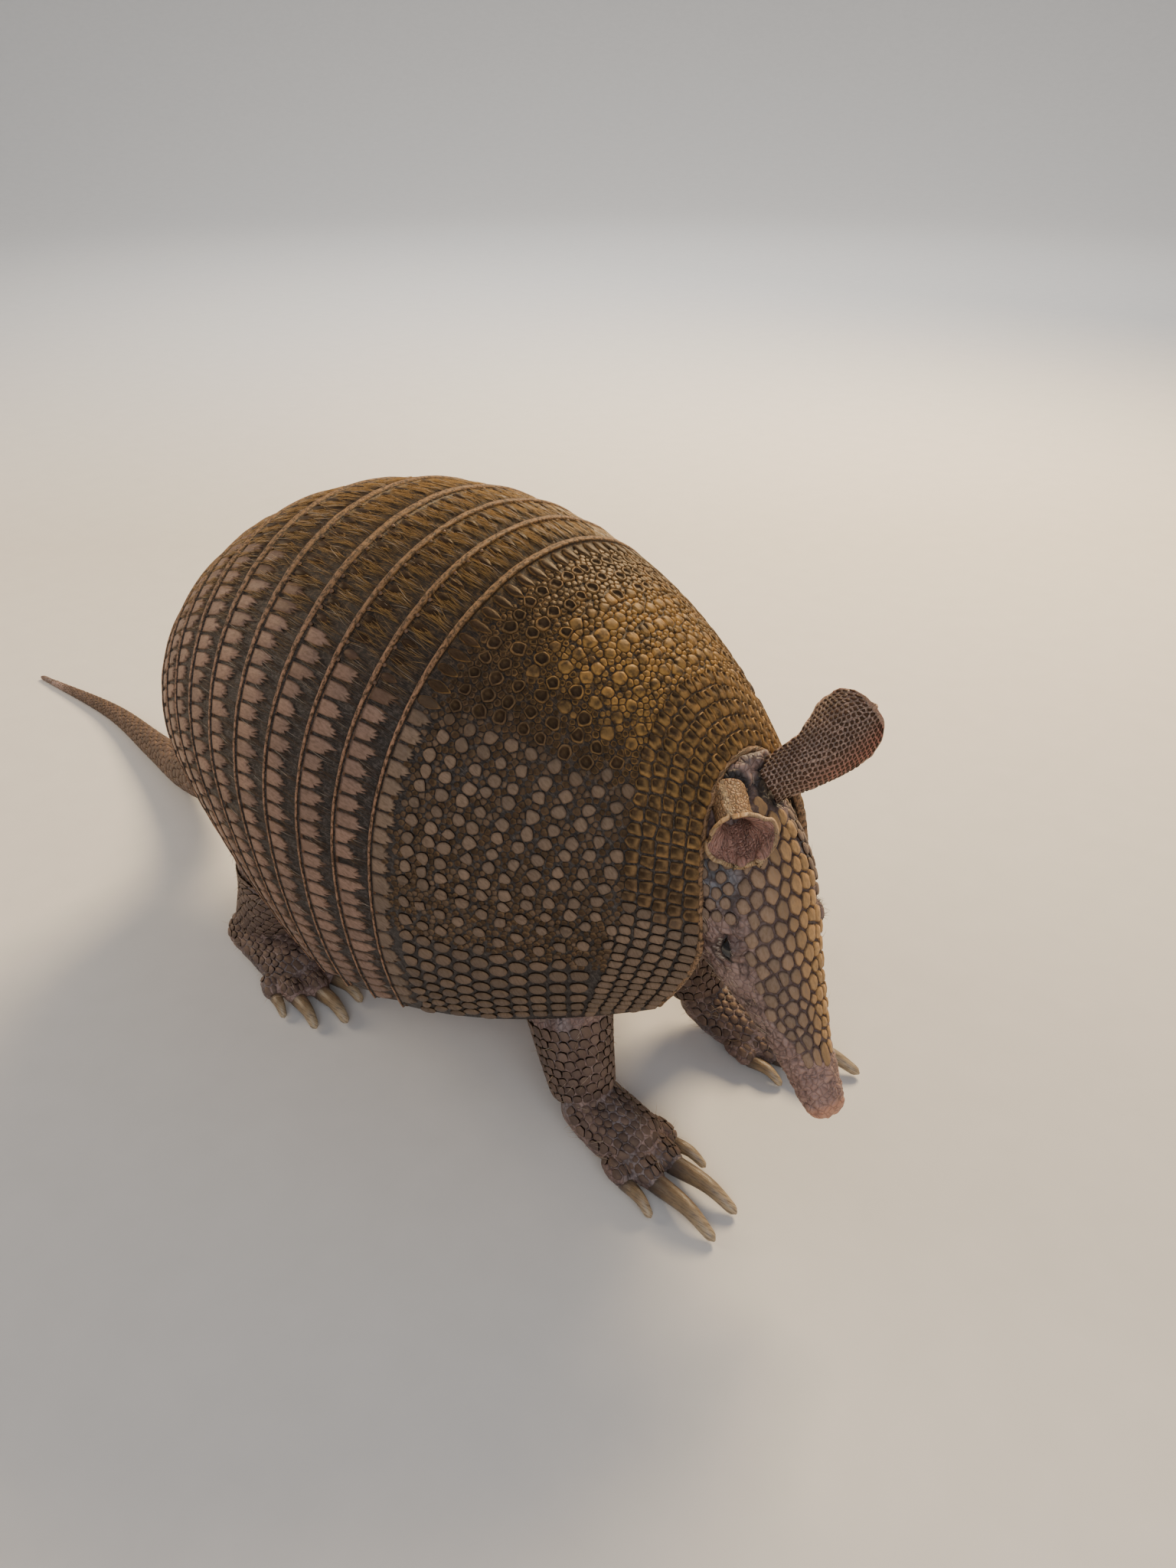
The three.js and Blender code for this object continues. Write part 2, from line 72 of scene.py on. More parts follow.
class Slot(Enum):
    """What a piece is made of, as the record names it."""

    SHIELD = "shield"
    BAND = "band"
    SKIN = "skin"
    EAR = "ear"
    EYE = "eye"
    CLAW = "claw"
    HAIR = "hair"


# ---------------------------------------------------------------- numbers


def mix(a: float | Array, b: float | Array, share: float | Array) -> float | Array:
    """The value at this share of the way from a to b."""
    return a + (b - a) * share


def smooth(low: float, high: float, value: float | Array) -> float | Array:
    """0 below low, 1 above high and an even curve between them."""
    share = np.clip((value - low) / (high - low), 0, 1)
    return share * share * (3 - 2 * share)


def swept(low: float, high: float, angle: float | Array) -> float | Array:
    """The same between two angles given in degrees, for an angle in radians."""
    return smooth(low * DEG, high * DEG, angle)


def bell(value: Array, middle: float, width: float) -> Array:
    """1 at the middle, falling away on both sides."""
    return np.exp(-(((value - middle) / width) ** 2))


def unit(vectors: Array) -> Array:
    """Each vector at length 1."""
    return vectors / np.maximum(np.linalg.norm(vectors, axis=-1, keepdims=True), TINY)


def columns(*parts: float | Array) -> Array:
    """These side by side, one row to a place; a single number goes in every row."""
    return np.stack(np.broadcast_arrays(*parts), axis=1)


def grain(points: Array, size: float, seed: int = 0) -> Array:
    """Smooth noise over space, the same in each run.

    Args:
        points: Places, one to a row.
        size: The width of one lump, in metres.
        seed: Which of the patterns to take.

    Returns:
        A value from -1 to 1 for each place.
    """
    place = points / size + 4096.0
    cell = np.floor(place).astype(np.int64)
    share = place - cell
    share = share * share * (3 - 2 * share)
    total = np.zeros(len(points))
    for corner in np.ndindex(2, 2, 2):
        key = cell + np.array(corner)
        mixed = key[:, 0] * 73856093 ^ key[:, 1] * 19349663 ^ key[:, 2] * 83492791 ^ (seed + 7) * 40503551
        mixed = (mixed ^ (mixed >> 13)) * 1274126177 & 0xFFFFFFFF
        value = ((mixed ^ (mixed >> 16)) & 0xFFFF) / 32767.5 - 1
        total += value * np.prod(np.where(np.array(corner) == 1, share, 1 - share), axis=1)
    return total


def ridges(points: Array, size: float, seed: int = 0) -> Array:
    """Creases between soft lumps: 0 in the crease and 1 on the lump."""
    return np.abs(grain(points, size, seed)) ** 0.5


def smooth_route(points: Sequence[Sequence[float]], count: int) -> Array:
    """A centripetal curve through some points, at even steps.

    Args:
        points: The points that it passes through.
        count: How many steps it has.

    Returns:
        Its places, count + 1 rows.
    """
    knots = np.array(points, float)
    knots = np.vstack([2 * knots[0] - knots[1], knots, 2 * knots[-1] - knots[-2]])
    fine = []
    for k in range(1, len(knots) - 2):
        before, start, end, after = knots[k - 1 : k + 3]
        first, middle, last = (
            np.linalg.norm(b - a) ** 0.5 for a, b in ((before, start), (start, end), (end, after))
        )
        out = (start - before) / first - (end - before) / (first + middle) + (end - start) / middle
        into = (end - start) / middle - (after - start) / (middle + last) + (after - end) / last
        t = np.linspace(0, 1, 60)[:, None]
        fine.append(
            (2 * t**3 - 3 * t**2 + 1) * start
            + (t**3 - 2 * t**2 + t) * out * middle
            + (3 * t**2 - 2 * t**3) * end
            + (t**3 - t**2) * into * middle
        )
    line = np.vstack(fine)
    steps = np.concatenate([[0], np.cumsum(np.linalg.norm(np.diff(line, axis=0), axis=1))])
    even = np.linspace(0, steps[-1], count + 1)
    return columns(*(np.interp(even, steps, line[:, axis]) for axis in range(3)))


# ---------------------------------------------------------------- surfaces


class Surface:
    """A curved sheet: u runs along it in metres and w round it in radians."""

    def at(self, u: Array, w: Array) -> Array:
        """The places at these coordinates, one to a row."""
        raise NotImplementedError

    def around(self, u: Array, w: Array) -> tuple[Array, Array, Array, Array]:
        """The sheet near some places.

        Args:
            u: How far along each place is.
            w: How far round each place is.

        Returns:
            The places, their outward normals, and how far a unit of u and of w reaches there.
        """
        u, w = np.broadcast_arrays(np.asarray(u, float), np.asarray(w, float))
        step, turn = 0.1 * MM, 0.001
        along = (self.at(u + step, w) - self.at(u - step, w)) / (2 * step)
        across = (self.at(u, w + turn) - self.at(u, w - turn)) / (2 * turn)
        reach = np.linalg.norm(along, axis=1), np.linalg.norm(across, axis=1)
        return self.at(u, w), unit(np.cross(along, across)), *reach

    def reach_at(self, u: float, w: float) -> float:
        """How far a unit of w reaches at one place."""
        return float(self.around([u], [w])[3][0])

    def lifted(self, u: Array, w: Array, lift: float | Array) -> Array:
        """The places at these coordinates, raised along the normal by lift."""
        place, normal, _, _ = self.around(u, w)
        return place + normal * np.broadcast_to(lift, len(place))[:, None]


@dataclass(frozen=True)
class ShellEnd:
    """How one end of the shell narrows and bends down."""

    length: float
    width: float
    height: float
    width_power: float
    height_power: float
    bend: float


@dataclass(frozen=True)
class Shell(Surface):
    """The shell's outer surface. w is 0 on the ridge and + to the animal's left."""

    half_width: float = 79 * MM
    top: float = 83 * MM
    bottom: float = 123 * MM
    front: ShellEnd = ShellEnd(127 * MM, 0.35, 0.34, 1.7, 2.3, -1.8)
    rear: ShellEnd = ShellEnd(146 * MM, 0.31, 0.26, 1.9, 1.8, -6.0)
    tilt: float = -3 * DEG
    rim: float = math.pi / 2 + 0.6
    thick: float = 3 * MM
    collar_top: float = 104 * MM
    collar_flank: float = 20 * MM
    first_edge: float = 36 * MM
    bands: int = 9
    pitch: float = 11.5 * MM
    swell: float = 2.8 * MM
    step: float = 1.2 * MM

    def at(self, u: Array, w: Array) -> Array:
        """The shell's places at u along its centre line and w round it."""
        ahead = u > 0

        def end(name: str) -> Array:
            """This value of the end that each place is in."""
            return np.where(ahead, getattr(self.front, name), getattr(self.rear, name))

        angle = self.tilt + end("bend") * u
        share = np.abs(u) / end("length")
        width = mix(1, end("width"), share ** end("width_power")) * self.half_width
        height = mix(1, end("height"), share ** end("height_power"))
        height = height * np.where(np.cos(w) > 0, self.top, self.bottom) * np.cos(w)
        x = (np.sin(angle) - math.sin(self.tilt)) / end("bend") - np.sin(angle) * height
        z = (math.cos(self.tilt) - np.cos(angle)) / end("bend") + np.cos(angle) * height
        return columns(x, width * np.sin(w), z) + ORIGIN

    def edge_scale(self, w: float | Array) -> float | Array:
        """1 in the squarish rows near the rim and 0 above them."""
        return swept(92, 102, w)

    def lowest(self, w: float | Array) -> float | Array:
        """1 in the smallest rows at the rim and 0 above them."""
        return swept(104, 122, w)

    def flank(self, w: float | Array) -> float | Array:
        """0 on the back and 1 down the flanks."""
        return swept(25, 75, np.abs(w))

    def collar(self, w: float | Array) -> float | Array:
        """Where the shell's front edge lies at w round from the ridge."""
        return self.collar_top + self.collar_flank * np.sin(w) ** 2

    def edges(self) -> list[float]:
        """The rear edges of the front shield and of each band."""
        found = [self.first_edge]
        for k in range(1, self.bands + 1):
            found.append(found[-1] - self.pitch - self.swell * math.sin(math.pi * k / (self.bands + 1)))
        return found


@dataclass(frozen=True)
class Head(Surface):
    """The head's surface. w is 0 on the brow and + to the animal's left."""

    base: tuple[float, float, float] = (104 * MM, 0.5 * MM, 13.5 * MM)
    yaw: float = -17.5 * DEG
    pitch: float = -51 * DEG
    length: float = 98 * MM
    # Share of the length, half width, height above the axis and depth below it, in millimetres.
    outline: tuple[tuple[float, float, float, float], ...] = (
        (0.00, 19.0, 19.0, 20.0),
        (0.15, 22.3, 21.3, 22.0),
        (0.30, 22.8, 20.8, 20.5),
        (0.45, 19.3, 17.4, 16.5),
        (0.60, 14.2, 13.0, 12.0),
        (0.80, 9.3, 8.9, 8.0),
        (0.93, 7.5, 7.3, 6.4),
        (0.985, 6.4, 6.2, 5.0),
        (1.01, 3.7, 3.7, 2.9),
    )
    eye_along: float = 0.43
    eye_turn: float = 62 * DEG
    eye_radius: float = 4.6 * MM
    eye_sunk: float = 4.35 * MM
    eye_tilt: float = 0.25

    def axes(self) -> tuple[Array, Array, Array]:
        """Along the snout, to its left and out of its brow."""
        flat = math.cos(self.pitch)
        forward = np.array([flat * math.cos(self.yaw), flat * math.sin(self.yaw), math.sin(self.pitch)])
        left = np.array([-math.sin(self.yaw), math.cos(self.yaw), 0])
        return forward, left, np.cross(forward, left)

    def size(self, along: Array) -> Array:
        """Half width, top and bottom at shares of the length, eased between the outline's rows."""
        rows = np.array(self.outline)
        last = len(rows) - 1
        at = np.clip(np.searchsorted(rows[:, 0], along, side="right") - 1, 0, last - 1)
        a, b = rows[at], rows[at + 1]
        before, after = rows[np.maximum(at - 1, 0)], rows[np.minimum(at + 2, last)]
        width = (b[:, :1] - a[:, :1])
        share = np.clip((np.asarray(along)[:, None] - a[:, :1]) / width, 0, 1)
        start = (b - before) / np.maximum(b[:, :1] - before[:, :1], 1e-6) * width
        end = (after - a) / np.maximum(after[:, :1] - a[:, :1], 1e-6) * width
        s2, s3 = share**2, share**3
        eased = (2 * s3 - 3 * s2 + 1) * a + (s3 - 2 * s2 + share) * start
        eased += (3 * s2 - 2 * s3) * b + (s3 - s2) * end
        return eased[:, 1:] * MM

    def at(self, u: Array, w: Array) -> Array:
        """The head's places at u along its axis and w round from its brow."""
        forward, left, up = self.axes()
        width, top, bottom = self.size(u / self.length).T
        height = np.where(np.cos(w) > 0, top, bottom) * np.cos(w)
        side = width * np.sin(w)
        return self.on_axis(0) + np.outer(u, forward) + np.outer(height, up) + np.outer(side, left)

    def on_axis(self, share: float) -> Array:
        """The place on the head's axis at a share of its length."""
        return np.array(self.base) + ORIGIN + self.axes()[0] * share * self.length

    def point(self, share: float, turn: float) -> tuple[Array, Array]:
        """One place at a share of the length and a turn from the brow, and its normal."""
        place, normal, _, _ = self.around([share * self.length], [turn])
        return place[0], normal[0]

    def holds(self, places: Array) -> Array:
        """Which places are the head's own, not a leg's or the trunk's."""
        along, _, radius = self.coordinates(places)
        slim = radius < mix(36 * MM, 17 * MM, np.clip(along, 0, 1))
        return slim & (along < 1.1) & (places[:, 0] > ORIGIN[0] + 90 * MM)

    def coordinates(self, places: Array) -> tuple[Array, Array, Array]:
        """Where places lie by the head's own axes.

        Args:
            places: Places in the row's frame.

        Returns:
            Share of the length, turn round from the brow, and distance from the axis.
        """
        forward, left, up = self.axes()
        local = places - self.on_axis(0)
        side, high = local @ left, local @ up
        return local @ forward / self.length, np.arctan2(side, high), np.hypot(side, high)

    def eye_centre(self, side: int) -> Array:
        """The middle of the eyeball on the right (-1) or left (1)."""
        surface, _ = self.point(self.eye_along, side * self.eye_turn)
        return surface + unit(self.on_axis(self.eye_along) - surface) * self.eye_sunk

    def eye_axes(self, side: int) -> tuple[Array, Array, Array]:
        """Out of the eyeball, along its opening and up across it."""
        out = unit(self.point(self.eye_along, side * self.eye_turn)[0] - self.eye_centre(side))
        forward = self.axes()[0]
        level = np.cross(forward, out) * side
        tilted = forward * math.cos(self.eye_tilt) - level * math.sin(self.eye_tilt)
        return out, tilted, np.cross(out, tilted) * side

    def from_eyes(self, places: Array) -> Array:
        """How far each place is from the nearer eye's middle."""
        return np.min([np.linalg.norm(places - self.eye_centre(side), axis=1) for side in (-1, 1)], axis=0)


class Tube(Surface):
    """A round limb along a route. w is 0 on its upper side."""

    def __init__(
        self,
        route: Sequence[Sequence[float]],
        radius_at: Callable[[Array], Array],
        flatten: float = 1.0,
        side: int = 1,
    ) -> None:
        """Lays the route and its radii.

        Args:
            route: Points of the centre line in millimetres from the body's middle.
            radius_at: Gives the radius in metres at shares of the length.
            flatten: Height of the section over its width.
            side: 1 as given, or -1 for its mirror image on the animal's right.
        """
        points = np.array(route) * MM * np.array([1, side, 1]) + ORIGIN
        self.line = smooth_route(points, 160)
        self.length = float(np.linalg.norm(np.diff(self.line, axis=0), axis=1).sum())
        self.forward = unit(np.gradient(self.line, axis=0))
        self.across = unit(np.cross([0, 0, 1], self.forward))
        self.up = np.cross(self.forward, self.across)
        self.radius_at = radius_at
        self.flatten = flatten

    def _along(self, table: Array, share: Array) -> Array:
        """Rows of a table at shares of the route."""
        steps = np.linspace(0, 1, len(table))
        return columns(*(np.interp(share, steps, table[:, axis]) for axis in range(3)))

    def at(self, u: Array, w: Array) -> Array:
        """The limb's places at u along it and w round from its upper side."""
        share = np.clip(u / self.length, 0, 1)
        radius = self.radius_at(share)
        beyond = (u - share * self.length)[:, None] * self._along(self.forward, share)
        return (
            self._along(self.line, share)
            + beyond
            + self._along(self.up, share) * (radius * np.cos(w) * self.flatten)[:, None]
            + self._along(self.across, share) * (radius * np.sin(w))[:, None]
        )


@dataclass(frozen=True)
class EarLeaf(Surface):
    """An ear: a leaf rolled round its axis, nearly shut at its root and open at its tip.

    u runs from the root to the tip, and w from -1 to 1 across the leaf.
    """

    root: tuple[float, float]
    axis: tuple[float, float, float]
    back: tuple[float, float, float]
    length: float = 37 * MM
    root_radius: float = 6.2 * MM
    tip_radius: float = 13 * MM
    half_span: float = 15.5 * MM
    sunk: float = 1.5 * MM
    widest: float = 2.62
    blunt: float = 0.985
    lean: float = 1.5 * MM
    wave: float = 0.9 * MM
    waves: float = 9.0
    narrow: float = 1.0
    hood: float = 0.0
    skew: float = 0.0

    def at(self, u: Array, w: Array) -> Array:
        """The leaf's places."""
        share = np.clip(u / self.length, 0, 1)
        along = unit(np.array(self.axis))
        rear = unit(np.array(self.back) - along * np.dot(self.back, along))
        side = np.cross(rear, along)
        start, normal = HEAD.point(*self.root)
        opened = smooth(self.hood, self.hood + 0.25, share) if self.hood else share**0.9
        radius = mix(self.root_radius, self.tip_radius, opened)
        side_on = np.sign(w) * self.skew
        widened = mix(self.narrow, 1, smooth(0.22 + 0.2 * side_on, 0.7 + 0.2 * side_on, share))
        span = self.half_span * np.sqrt(1 - self.blunt * share ** (4 * 2**side_on)) * widened
        reach = np.minimum(span / radius, self.widest)
        if self.hood:
            reach = mix(3.138, reach, smooth(self.hood, self.hood + 0.1, share))
        turn = reach * w
        rim = np.maximum(np.abs(w), share) ** 6
        ripple = self.wave * rim * np.sin(
            self.waves * (w + 0.35 * share) + 1.0
        ) * share * smooth(1.0, 0.9, share)
        centre = self.lean * share + self.root_radius - radius
        outward = radius + ripple * smooth(self.hood - 0.05, self.hood + 0.15, share)
        return (
            start
            - normal * self.sunk
            + np.outer(u, along)
            + np.outer(centre + outward * np.cos(turn), rear)
            + np.outer(outward * np.sin(turn), side)
        )


SHELL = Shell()
HEAD = Head()


# ---------------------------------------------------------------- meshes


def deselect_all() -> None:
    """Leaves nothing selected and no object in edit mode."""
    if bpy.context.object and bpy.context.object.mode != "OBJECT":
        bpy.ops.object.mode_set(mode="OBJECT")
    bpy.ops.object.select_all(action="DESELECT")


def select_only(piece: Piece) -> None:
    """Selects one object and makes it active."""
    deselect_all()
    piece.select_set(True)
    bpy.context.view_layer.objects.active = piece


def read(rows: bpy.types.bpy_prop_collection, name: str, width: int = 1, kind: type = float) -> Array:
    """One property of each row of a mesh, this many values wide."""
    flat = np.zeros(len(rows) * width, kind)
    rows.foreach_get(name, flat)
    return flat.reshape(-1, width) if width > 1 else flat


def places_of(piece: Piece) -> Array:
    """The mesh's vertices, one to a row."""
    return read(piece.data.vertices, "co", 3)


def move_to(piece: Piece, places: Array) -> None:
    """Puts the mesh's vertices at these places."""
    piece.data.vertices.foreach_set("co", places.ravel())
    piece.data.update()


def normals_of(piece: Piece) -> Array:
    """The mesh's vertex normals, one to a row."""
    return read(piece.data.vertices, "normal", 3)


def keep_off_floor(piece: Piece, clearance: float = 0.0) -> None:
    """Lifts every vertex that is lower to this height above the floor."""
    move_to(piece, np.maximum(places_of(piece), [-np.inf, -np.inf, clearance]))


def apply_modifier(piece: Piece, kind: str, **settings: object) -> None:
    """Adds a modifier with these settings and applies it."""
    select_only(piece)
    modifier = piece.modifiers.new(kind.title(), kind)
    for name, value in settings.items():
        setattr(modifier, name, value)
    bpy.ops.object.modifier_apply(modifier=modifier.name)


def sheet_primitive(name: str, along: int, across: int) -> Piece:
    """A grid from -0.5 to 0.5 each way, with this many cells along X and across Y."""
    deselect_all()
    bpy.ops.mesh.primitive_grid_add(x_subdivisions=along, y_subdivisions=across, size=1)
    bpy.context.object.name = name
    return bpy.context.object


def cut(piece: Piece, kind: str, chosen: Array, cuts: int) -> None:
    """Subdivides between the chosen edges or vertices.

    Args:
        piece: What is cut.
        kind: EDGE or VERT.
        chosen: Which of them are chosen.
        cuts: How many cuts each edge gets.
    """
    select_only(piece)
    bpy.ops.object.mode_set(mode="EDIT")
    bpy.ops.mesh.select_mode(type=kind)
    bpy.ops.mesh.select_all(action="DESELECT")
    bpy.ops.object.mode_set(mode="OBJECT")
    rows = piece.data.edges if kind == "EDGE" else piece.data.vertices
    rows.foreach_set("select", chosen)
    bpy.ops.object.mode_set(mode="EDIT")
    bpy.ops.mesh.subdivide(number_cuts=cuts)
    bpy.ops.object.mode_set(mode="OBJECT")


def tube_primitive(name: str, sides: int, rings: int) -> Piece:
    """A closed cylinder of radius 1 from Z -0.5 to 0.5, cut into rings."""
    deselect_all()
    bpy.ops.mesh.primitive_cylinder_add(vertices=sides, radius=1, depth=1, end_fill_type="TRIFAN")
    piece = bpy.context.object
    piece.name = name
    height = places_of(piece)[read(piece.data.edges, "vertices", 2, int), 2]
    cut(piece, "EDGE", np.abs(height[:, 0] - height[:, 1]) > 0.5, rings - 1)
    return piece


def wrap_tube(name: str, surface: Surface, ends: tuple[float, float], sides: int, rings: int) -> Piece:
    """A closed tube laid on a surface that goes all the way round.

    Args:
        name: The piece's name.
        surface: What it lies on.
        ends: Where it starts and ends along the surface, in metres.
        sides: How many sides it has.
        rings: How many rings of faces it has.

    Returns:
        The piece, closed by a fan at each end.
    """
    piece = tube_primitive(name, sides, rings)
    places = places_of(piece)
    turn = np.arctan2(places[:, 1], places[:, 0])
    u = mix(ends[0], ends[1], places[:, 2] + 0.5)
    middle = np.hypot(places[:, 0], places[:, 1]) < 0.5
    wrapped = surface.at(u, turn)
    opposite = surface.at(u, turn + math.pi)
    wrapped[middle] = (wrapped[middle] + opposite[middle]) / 2
    move_to(piece, wrapped)
    return piece


def corners_of(piece: Piece) -> Array:
    """Each face corner's vertex."""
    return read(piece.data.loops, "vertex_index", 1, int)


def new_mesh(name: str, places: Array, faces: Iterable[Sequence[int]]) -> Piece:
    """An object of this mesh, linked to the scene."""
    data = bpy.data.meshes.new(name)
    data.from_pydata(places.tolist(), [], list(faces))
    piece = bpy.data.objects.new(name, data)
    bpy.context.scene.collection.objects.link(piece)
    return piece


def join(name: str, pieces: Sequence[Piece]) -> Piece:
    """One object of several, under this name."""
    deselect_all()
    for piece in pieces:
        piece.select_set(True)
    bpy.context.view_layer.objects.active = pieces[0]
    bpy.ops.object.join()
    pieces[0].name = name
    pieces[0].data.name = name
    return pieces[0]


def add_map(piece: Piece, name: str, values: Array) -> None:
    """Adds a UV map from one pair of values for each face corner."""
    layer = piece.data.uv_layers.get(name) or piece.data.uv_layers.new(name=name)
    layer.uv.foreach_set("vector", values.astype(np.float32).ravel())


def add_lay(piece: Piece, along: Array, around: Array) -> None:
    """Adds the lay map from how far along and around each vertex lies, in metres."""
    add_map(piece, LAY_MAP, (columns(along, around) / LAY_UNIT)[corners_of(piece)])


def add_marks(piece: Piece, values: Array) -> None:
    """Adds the marks, four values for each vertex."""
    layer = piece.data.attributes.new(MARKS, "FLOAT_COLOR", "POINT")
    layer.data.foreach_set("color", values.astype(np.float32).ravel())


def finish_piece(piece: Piece, material: Material, nodes: Sequence[str] = ()) -> None:
    """Dresses a piece and fixes it to the frame.

    Args:
        piece: The finished piece.
        material: What it is dressed in.
        nodes: The CAD nodes that it stands for.
    """
    if not piece.data.materials:
        piece.data.materials.append(material)
    piece.data.shade_smooth()
    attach(piece, BODY)
    if nodes:
        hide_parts(*nodes)
    LOG.info("%s: %d triangles", piece.name, len(piece.data.loops) - 2 * len(piece.data.polygons))


# ---------------------------------------------------------------- scales


@dataclass(frozen=True)
class Profile:
    """How a scale rises from its edge: its share of the outline, its share of the height, and its rim mark."""

    rings: tuple[tuple[float, float, float], ...]
    crown: tuple[float, float] = (1.0, 0.0)
    rounding: float = 0.0


BOSS = Profile(((1.0, -0.45, 1.0), (0.97, 0.35, 1.0), (0.86, 0.8, 0.75), (0.62, 1.0, 0.1)), (1.06, 0.0), 0.25)
TILE = Profile(((1.0, -0.45, 1.0), (0.95, 0.55, 1.0), (0.8, 0.95, 0.35)), (1.0, 0.0), 0.16)
CREST = Profile(((1.0, -0.45, 1.0), (0.92, 0.5, 0.9), (0.64, 1.0, 0.68), (0.34, 0.6, 0.42)), (0.4, 0.2), 0.12)
SCUTE = Profile(((1.0, -0.4, 1.0), (0.94, 0.55, 0.8), (0.72, 0.95, 0.2)), (1.05, 0.0))
PLATE = Profile(((1.0, -0.4, 1.0), (0.92, 0.35, 0.9), (0.76, 0.8, 0.4)), (1.08, 0.0), 0.17)
TAIL_SCALE = Profile(((1.0, -0.4, 1.0), (0.92, 0.6, 0.8), (0.6, 0.95, 0.25)), (1.05, 0.1))
RING = Profile(((1.0, -0.3, 0.9), (0.93, 0.75, 0.8), (0.74, 0.9, 0.55), (0.6, 0.3, 0.0)), (0.2, 0.0), 0.2)
# A flat-topped scale that takes the rim colour nearly all over, golden as painted warm highlight on the
# shield's top.
GILT_HIGHLIGHT = Profile(((1.0, -0.3, 1.0), (0.88, 0.5, 0.8), (0.5, 0.75, 0.62)), (0.7, 0.55), 0.15)
LINK = Profile(((1.0, -0.3, 0.92), (0.8, 0.75, 0.7)), (0.3, 0.0))
PEBBLE = Profile(((1.0, -0.3, 1.0), (0.82, 0.75, 0.7)), (1.0, 0.1))


def rounded(outline: Outline, share: float) -> Outline:
    """The outline with each corner cut off at this share of its sides."""
    found = []
    for k, start in enumerate(outline):
        end = outline[(k + 1) % len(outline)]
        for part in (share, 1 - share):
            found.append((mix(start[0], end[0], part), mix(start[1], end[1], part)))
    return found


def clipped(outline: Outline, across: float, up: float, limit: float) -> Outline:
    """What is left of a convex outline on the near side of a line.

    Args:
        outline: Its corners in order.
        across: The line's normal, first part.
        up: The line's normal, second part.
        limit: How far the line is from the middle.

    Returns:
        The corners that are left.
    """
    found = []
    last = outline[-1]
    last_beyond = across * last[0] + up * last[1] - limit
    for corner in outline:
        beyond = across * corner[0] + up * corner[1] - limit
        if beyond * last_beyond < 0:
            share = last_beyond / (last_beyond - beyond)
            found.append((mix(last[0], corner[0], share), mix(last[1], corner[1], share)))
        if beyond <= 0:
            found.append(corner)
        last, last_beyond = corner, beyond
    return found


@dataclass
class Site:
    """Where a scale sits, and what it is like."""

    u: float
    w: float
    radius: float
    height: float = 1 * MM
    profile: Profile = PEBBLE
    marks: tuple[float, float, float] = (0.0, 0.0, 0.0)
    stretch: float = 1.0
    shown: bool = True
    lean: float = 0.0
    gap: float = 0.32 * MM

    def room(self, spare: float) -> tuple[float, float, float]:
        """Its u and w, and how far from there it leaves no room for another."""
        return self.u, self.w, (self.radius + spare) * max(1.0, 0.6 * self.stretch + 0.3)


